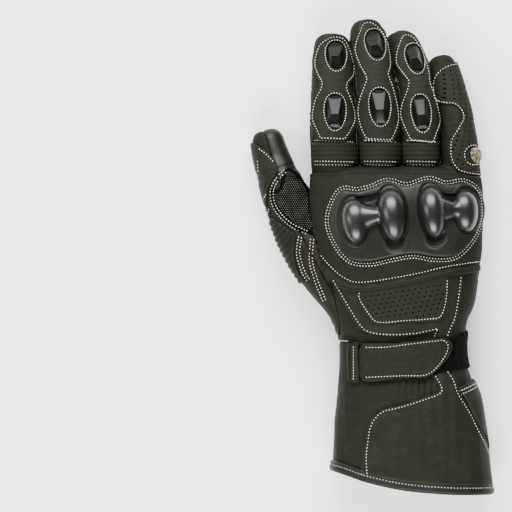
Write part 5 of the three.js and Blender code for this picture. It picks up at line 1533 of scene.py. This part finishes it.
def pointPiece(name, at, ways, ups):  # a mesh of loose points that a Geometry Nodes tree turns into solids
    mesh = bpy.data.meshes.new(name)
    mesh.from_pydata(((at + gloveShift) / 1000).tolist(), [], [])
    for key, vectors in (("way", ways), ("up", ups)):
        addNumbers(mesh, key, vectors, "FLOAT_VECTOR", "vector")
    return linked(name, mesh)


def scatterTree(name, material, kind, at):  # a tree that puts one solid on each point, turned by way and up
    tree = bpy.data.node_groups.new(name, "GeometryNodeTree")
    tree.interface.new_socket("Geometry", in_out="INPUT", socket_type="NodeSocketGeometry")
    for key in ("Length", "Width", "Height", "Variation"):
        tree.interface.new_socket(key, in_out="INPUT", socket_type="NodeSocketFloat")
    tree.interface.new_socket("Seed", in_out="INPUT", socket_type="NodeSocketInt")
    tree.interface.new_socket("Geometry", in_out="OUTPUT", socket_type="NodeSocketGeometry")
    given, result = tree.nodes.new("NodeGroupInput"), tree.nodes.new("NodeGroupOutput")
    way = nodeOf(tree, "GeometryNodeInputNamedAttribute", {"Name": "way"}, data_type="FLOAT_VECTOR")
    up = nodeOf(tree, "GeometryNodeInputNamedAttribute", {"Name": "up"}, data_type="FLOAT_VECTOR")
    toUp = nodeOf(tree, "FunctionNodeAlignRotationToVector", {"Vector": up.outputs[0]}, axis="Z")
    turns = {"Rotation": toUp.outputs[0], "Vector": way.outputs[0]}
    turned = nodeOf(tree, "FunctionNodeAlignRotationToVector", turns, axis="X", pivot_axis="Z")
    spread = nodeOf(tree, "ShaderNodeMath", {0: given.outputs["Variation"], 1: -1.0}, operation="MULTIPLY")
    low = nodeOf(tree, "ShaderNodeMath", {0: spread.outputs[0], 1: 1.0}, operation="ADD")
    between = {2: low.outputs[0], 3: 1.0, "Seed": given.outputs["Seed"]}
    jitter = nodeOf(tree, "FunctionNodeRandomValue", between, data_type="FLOAT")
    solid = nodeOf(tree, kind, at)
    sides = {i: given.outputs[key] for i, key in enumerate(("Length", "Width", "Height"))}
    size = nodeOf(tree, "ShaderNodeCombineXYZ", sides)
    sized = nodeOf(tree, "GeometryNodeTransform", {"Geometry": solid.outputs[0], "Scale": size.outputs[0]})
    placed = nodeOf(tree, "GeometryNodeInstanceOnPoints", {
        "Points": given.outputs["Geometry"], "Instance": sized.outputs[0], "Rotation": turned.outputs[0],
        "Scale": jitter.outputs[1]})
    real = nodeOf(tree, "GeometryNodeRealizeInstances", {"Geometry": placed.outputs[0]})
    done = nodeOf(tree, "GeometryNodeSetMaterial", {"Geometry": real.outputs[0], "Material": material})
    tree.links.new(done.outputs[0], result.inputs[0])
    return tree


# runs the tree on the piece and keeps its result as a plain mesh; the sizes are in millimetres
def scattered(piece, slot, tree, length, width, height, variation, seed):
    modifier = piece.modifiers.new("scatter", "NODES")
    modifier.node_group = tree
    values = dict(Length=length / 1000, Width=width / 1000, Height=height / 1000)
    values.update(Variation=variation, Seed=seed)
    for item in tree.interface.items_tree:
        if item.in_out == "INPUT" and item.name in values:
            modifier[item.identifier] = values[item.name]
    evaluated = piece.evaluated_get(bpy.context.evaluated_depsgraph_get())
    mesh = bpy.data.meshes.new_from_object(evaluated)
    piece.modifiers.remove(modifier)
    piece.data = mesh
    mesh.shade_smooth()
    dress(piece, slot)


# Materials
class Maths:  # wraps a socket, so that shader maths reads as an expression
    def __init__(self, tree, socket):
        self.tree, self.socket = tree, socket

    def join(self, operation, *others):
        values = {i: (v.socket if isinstance(v, Maths) else float(v)) for i, v in enumerate(others)}
        return Maths(self.tree, nodeOf(self.tree, "ShaderNodeMath", values, operation=operation).outputs[0])

    def __add__(self, other):
        return self.join("ADD", self, other)

    def __sub__(self, other):
        return self.join("SUBTRACT", self, other)

    def __rsub__(self, other):
        return self.join("SUBTRACT", other, self)

    def __mul__(self, other):
        return self.join("MULTIPLY", self, other)

    def __abs__(self):
        return self.join("ABSOLUTE", self)

    __radd__, __rmul__ = __add__, __mul__

    def below(self, other):
        return self.join("MINIMUM", self, other)

    def over(self, other):
        return self.join("MAXIMUM", self, other)

    def fade(self, low, high):  # 0 at low to 1 at high, smoothly
        at = {"Value": self.socket, "From Min": low, "From Max": high, "To Min": 0.0, "To Max": 1.0}
        node = nodeOf(self.tree, "ShaderNodeMapRange", at, interpolation_type="SMOOTHSTEP", clamp=True)
        return Maths(self.tree, node.outputs[0])


class Finish:  # a material under way: its tree, its shader and a place measured in millimetres
    def __init__(self, name, **constants):
        self.material = bpy.data.materials.new(name)
        self.material.use_nodes = True
        self.tree = self.material.node_tree
        self.shader = self.tree.nodes["Principled BSDF"]
        for key, value in constants.items():
            self.shader.inputs[key.replace("_", " ")].default_value = value
        self.place = nodeOf(self.tree, "ShaderNodeTexCoord").outputs["Object"]

    def node(self, kind, at=None, **settings):
        return nodeOf(self.tree, kind, at, **settings)

    def scaled(self, size):  # object coordinates in lumps of size millimetres, the same each way or x, y, z
        scale = tuple(1000 / s for s in (size if isinstance(size, tuple) else (size,) * 3))
        return self.node("ShaderNodeMapping", {"Vector": self.place, "Scale": scale}).outputs[0]

    def clouds(self, size, detail=3.0, rough=0.55):
        at = {"Vector": self.scaled(size), "Scale": 1.0, "Detail": detail, "Roughness": rough}
        return Maths(self.tree, self.node("ShaderNodeTexNoise", at).outputs[0])

    def cells(self, size):
        at = {"Vector": self.scaled(size), "Scale": 1.0}
        return Maths(self.tree, self.node("ShaderNodeTexVoronoi", at, feature="F1").outputs["Distance"])

    def attribute(self, name):
        return Maths(self.tree, self.node("ShaderNodeAttribute", attribute_name=name).outputs["Fac"])

    def blend(self, amount, first, second):  # a colour between two
        colours = {i: (*c, 1) if isinstance(c, tuple) else c for i, c in ((6, first), (7, second))}
        return self.node("ShaderNodeMix", {0: amount.socket, **colours}, data_type="RGBA").outputs[2]

    def relief(self, height, distance, strength):
        at = {"Height": height.socket, "Distance": distance / 1000, "Strength": strength}
        return self.node("ShaderNodeBump", at).outputs[0]

    def wear(self, colour, roughness=None, normal=None):
        given = {"Base Color": colour, "Roughness": roughness and roughness.socket, "Normal": normal}
        for key, value in given.items():
            if value is not None:
                self.tree.links.new(value, self.shader.inputs[key])
        return self.material


paintedHoleShade = (0.0003, 0.0003, 0.0003)  # painted shade inside a hole or a slot, and on what shows through the holes


def leather(name, dark, light, rough, grain=0.8, wrinkle=0.5, worn=(0.021, 0.021, 0.0145), wornAmount=0.35,
            coat=0.0, gloss=0.08):
    deep = tuple(c * 0.3 for c in dark)
    f = Finish(name, Specular_IOR_Level=gloss, Coat_Weight=coat, Coat_Roughness=0.35)
    pores = f.cells(grain)
    fine = f.clouds(grain * 0.55, 2.0)
    patches = f.clouds(17, 4.0)
    streaks = f.clouds((7, 3.2, 7), 5.0, 0.6)
    edge = f.attribute("edge")
    rubbed = (1 - edge.fade(0.1, 1.5)) * (0.4 + f.clouds(3.5, 3.0))
    tone = f.blend((patches * 1.7 - 0.35).below(1).over(0), dark, light)
    tone = f.blend((streaks.fade(0.52, 0.75)) * 0.28, tone, worn)
    tone = f.blend(rubbed * wornAmount, tone, worn)
    tone = f.blend((1 - edge.fade(0.0, 0.35)) * 0.5, tone, deep)
    height = pores.fade(0.05, 0.65) * 0.55 + fine * 0.45 + f.clouds((5.5, 2.6, 5.5), 4.0, 0.65) * wrinkle
    stitch = f.attribute("stitch")
    height = height - (1 - stitch.fade(0.1, 0.75)) * 1.5
    # painted shade in the stitch grooves and the rib grooves
    tone = f.blend((1 - stitch.fade(0.1, 0.7)) * 0.7, tone, deep)
    # painted shade where the skin shows through holes and under the vent
    tone = f.blend(f.attribute("shade") * 0.95, tone, paintedHoleShade)
    roughness = rough + (patches - 0.5) * 0.18 + (fine - 0.5) * 0.1 - streaks.fade(0.55, 0.8) * 0.06
    return f.wear(tone, roughness.below(0.95).over(0.15), f.relief(height, 0.16, 0.75))


def gripCloth(name):
    f = Finish(name, Specular_IOR_Level=0.03)
    warp = abs(f.clouds((0.9, 0.45, 0.9), 1.0) - 0.5)
    edge, stitch = f.attribute("edge"), f.attribute("stitch")
    tone = f.blend(f.clouds(9, 4.0).fade(0.35, 0.7), (0.0006, 0.0006, 0.0005), (0.0020, 0.0019, 0.0016))
    # painted shade in the groove along the stitch rows
    tone = f.blend((1 - stitch.fade(0.1, 0.7)) * 0.5, tone, (0.001, 0.001, 0.001))
    height = warp * 1.2 + f.cells(0.7).fade(0.1, 0.6) * 0.5 + edge.fade(0, 0.6) * 0.3
    return f.wear(tone, 0.68 + f.clouds(4, 2.0) * 0.2, f.relief(height, 0.15, 0.7))


def fuzzyTape(name):
    f = Finish(name, Specular_IOR_Level=0.02, Sheen_Weight=0.01, Sheen_Roughness=0.6)
    loops = f.cells((0.55, 0.8, 0.55))
    tone = f.blend(f.clouds(2.6, 4.0).fade(0.35, 0.7), (0.0006, 0.0005, 0.0004), (0.0030, 0.0025, 0.0019))
    return f.wear(tone, 0.82 + loops * 0.12, f.relief(loops + f.clouds(0.5, 2.0), 0.35, 0.9))


def mouldedSatin(name):
    f = Finish(name, Specular_IOR_Level=0.14, Coat_Weight=0.02, Coat_Roughness=0.3)
    edge = f.attribute("edge")
    clouds = f.clouds(21, 3.0)
    tone = f.blend(clouds.fade(0.3, 0.7), (0.0056, 0.0068, 0.0046), (0.0084, 0.0100, 0.0070))
    tone = f.blend((1 - edge.fade(0.2, 1.6)) * 0.5, tone, (0.018, 0.021, 0.018))
    shade = f.attribute("shade")
    # painted shade in the vent slots and the scoops
    tone = f.blend(shade, tone, paintedHoleShade)
    scuffs = f.clouds((14, 1.1, 14), 4.0, 0.7).fade(0.62, 0.8) * (1 - shade)
    tone = f.blend(scuffs * 0.15, tone, (0.026, 0.03, 0.026))
    roughness = 0.36 + clouds * 0.14 + scuffs * 0.1 + shade * 0.45
    return f.wear(tone, roughness, f.relief(f.clouds(0.45, 2.0), 0.03, 0.45))


def mouldedGloss(name):
    f = Finish(name, Specular_IOR_Level=0.45, Coat_Weight=0.1, Coat_Roughness=0.3)
    clouds = f.clouds(13, 3.0)
    scuffs = f.clouds((9, 1.3, 9), 5.0, 0.75).fade(0.6, 0.82)
    tone = f.blend(clouds.fade(0.3, 0.75), (0.0026, 0.0028, 0.0024), (0.0056, 0.0060, 0.0052))
    tone = f.blend(scuffs * 0.3, tone, (0.03, 0.03, 0.026))
    height = f.clouds(3.6, 3.0) * 0.6 + f.clouds(0.9, 2.0) * 0.08
    return f.wear(tone, 0.3 + clouds * 0.08 + scuffs * 0.14, f.relief(height, 0.04, 0.25))


def studPlastic(name):
    f = Finish(name, Specular_IOR_Level=0.11, Coat_Weight=0.02, Coat_Roughness=0.2)
    clouds = f.clouds(5, 4.0)
    tone = f.blend(clouds.fade(0.3, 0.75), (0.0018, 0.0018, 0.0012), (0.0046, 0.0048, 0.0034))
    scratches = f.clouds((2.6, 0.5, 2.6), 4.0, 0.7).fade(0.62, 0.8)
    tone = f.blend(scratches * 0.3, tone, (0.05, 0.05, 0.04))
    return f.wear(tone, 0.24 + clouds * 0.14 + scratches * 0.1, f.relief(f.clouds(0.6, 3.0), 0.04, 0.5))


def brassy(name):
    f = Finish(name, Metallic=1.0, Specular_IOR_Level=0.5)
    dirt = f.clouds(1.6, 4.0).fade(0.35, 0.68)
    tone = f.blend(dirt, (0.10, 0.085, 0.045), (0.72, 0.66, 0.45))
    return f.wear(tone, 0.42 - dirt * 0.16, f.relief(f.clouds(0.5, 3.0), 0.08, 0.6))


def threadFinish(name):
    f = Finish(name, Specular_IOR_Level=0.25, Sheen_Weight=0.15, Sheen_Roughness=0.5)
    dirt = f.clouds(11, 4.0).fade(0.35, 0.75)
    tone = f.blend(dirt, (0.46, 0.45, 0.37), (0.76, 0.755, 0.66))
    tone = f.blend(f.clouds(1.6, 2.0).fade(0.5, 0.8) * 0.35, tone, (0.36, 0.34, 0.27))
    twist = abs(f.clouds(0.25, 1.0) - 0.5)
    return f.wear(tone, 0.62 + dirt * 0.1, f.relief(twist, 0.08, 0.6))


finishes = dict(
    back_leather=leather("backLeather", (0.0047, 0.0049, 0.0029), (0.0080, 0.0083, 0.0051), 0.62),
    palm_leather=leather("palmLeather", (0.0026, 0.0020, 0.0008), (0.0056, 0.0046, 0.0023), 0.46, grain=1.1,
                         wrinkle=0.9, worn=(0.014, 0.012, 0.008), wornAmount=0.25, coat=0.04, gloss=0.2),
    overlay_leather=leather("overlayLeather", (0.0060, 0.0063, 0.0039), (0.0097, 0.0101, 0.0065), 0.6,
                            worn=(0.024, 0.024, 0.017)),
    perforated_leather=leather("perforatedLeather", (0.0056, 0.0060, 0.0038), (0.0094, 0.0098, 0.0064), 0.64),
    pad_leather=leather("padLeather", (0.0054, 0.0060, 0.0039), (0.0090, 0.0098, 0.0066), 0.62, grain=0.9),
    binding=leather("bindingLeather", (0.0034, 0.0030, 0.0018), (0.0070, 0.0064, 0.0044), 0.52, wrinkle=0.8,
                    gloss=0.15),
    grip_mesh=gripCloth("gripMesh"), loop_tape=fuzzyTape("loopTape"), guard_satin=mouldedSatin("guardSatin"),
    guard_gloss=mouldedGloss("guardGloss"), stud_plastic=studPlastic("studPlastic"),
    badge_metal=brassy("badgeMetal"))
threadCream = threadFinish("threadCream")

ball = "GeometryNodeMeshUVSphere"
threadTree = scatterTree("stitchThreads", threadCream, ball, {"Segments": 6, "Rings": 4, "Radius": 0.5})
scattered(pointPiece("stitching", threadAt, threadWay, threadUp), "overlay_leather", threadTree,
          threadSize["length"], threadSize["width"], threadSize["height"], 0.12, 4)


def paint(piece, material):
    piece.data.materials.clear()
    piece.data.materials.append(material)


def rubberDots(name):
    f = Finish(name, Specular_IOR_Level=0.4)
    tone = f.blend(f.clouds(6, 3.0).fade(0.35, 0.7), (0.03, 0.03, 0.026), (0.11, 0.11, 0.095))
    return f.wear(tone, 0.55 + f.clouds(3, 2.0) * 0.15, f.relief(f.clouds(0.3, 2.0), 0.05, 0.4))


dotTree = scatterTree("gripDots", rubberDots("gripDot"), ball, {"Segments": 6, "Rings": 3, "Radius": 0.5})
toothSize = {"Vertices": 4, "Radius Top": 0.12, "Radius Bottom": 0.5, "Depth": 0.8}  # scaled by the tree
knurlTree = scatterTree("badgeKnurls", finishes["badge_metal"], "GeometryNodeMeshCone", toothSize)
for name, (at, ups) in (("palmGripDots", palmDots), ("thumbGripDots", thumbDots)):
    scattered(pointPiece(name, at, np.tile((1.0, 0.0, 0.0), (len(at), 1)), ups), "grip_mesh", dotTree,
              dotSize["wide"], dotSize["wide"], dotSize["tall"], 0.1, 9)
slanted = badgeAxes[0] * 0.7071 + badgeAxes[1] * 0.7071
knurlWays, knurlUps = [np.tile(v, (len(knurlPoints), 1)) for v in (slanted, badgeAxes[2])]
scattered(pointPiece("badgeKnurls", knurlPoints, knurlWays, knurlUps), "badge_metal", knurlTree,
          knurlSize["length"], knurlSize["width"], knurlSize["tall"], 0.25, 3)
scatteredNames = ("stitching", "palmGripDots", "thumbGripDots", "badgeKnurls")
for piece in bpy.data.objects:
    ours = piece.type == "MESH" and piece.get("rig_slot") and not piece.get("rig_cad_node")
    if ours and piece.name not in scatteredNames:
        paint(piece, finishes[piece["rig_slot"]])
print("finishes done")

# Studio: a pale floor and soft lights, and the camera straight above
floorHalf = 900
floorCorners = np.array([(-1, -1, 0), (1, -1, 0), (1, 1, 0), (-1, 1, 0)]) * floorHalf
floor = meshFrom("floor", floorCorners - gloveShift, [(0, 1, 2, 3)])
pale = Finish("paleFloor", Roughness=0.75, Specular_IOR_Level=0.2)
paint(floor, pale.wear(pale.blend(pale.clouds(160, 2.0), (0.93, 0.93, 0.93), (0.96, 0.96, 0.96))))
cameraSize = dict(centreX=-75.1, centreY=-0.46, view=327.7, away=4000.0, plane=30.0, sensor=36, clipEnd=20)
worldLight = 0.22
cameraData = bpy.data.cameras.new("viewer")
cameraData.sensor_width, cameraData.clip_end = cameraSize["sensor"], cameraSize["clipEnd"]
cameraData.lens = cameraSize["sensor"] * cameraSize["away"] / cameraSize["view"]
viewer = linked("viewer", cameraData)
high = cameraSize["away"] + cameraSize["plane"]
viewer.location = (cameraSize["centreX"] / 1000, cameraSize["centreY"] / 1000, high / 1000)
bpy.context.scene.camera = viewer
lightTable = (  # name, place, width, depth, watts
    ("softFar", (-0.10, 1.05, 0.95), 1.4, 0.8, 68), ("softNear", (-0.05, -1.05, 0.85), 1.3, 0.7, 50),
    ("softLeft", (-1.2, 0.15, 1.0), 0.5, 0.9, 12))
for name, at, wide, deep, watts in lightTable:
    light = bpy.data.lights.new(name, "AREA")
    light.shape, light.size, light.size_y, light.energy = "ELLIPSE", wide, deep, watts
    lamp = linked(name, light)
    lamp.location = at
    lamp.rotation_euler = (-Vector(at)).to_track_quat("-Z", "Y").to_euler()
world = bpy.data.worlds.new("pale")
world.use_nodes = True
world.node_tree.nodes["Background"].inputs[0].default_value = (1, 1, 1, 1)
world.node_tree.nodes["Background"].inputs[1].default_value = worldLight
bpy.context.scene.world = world
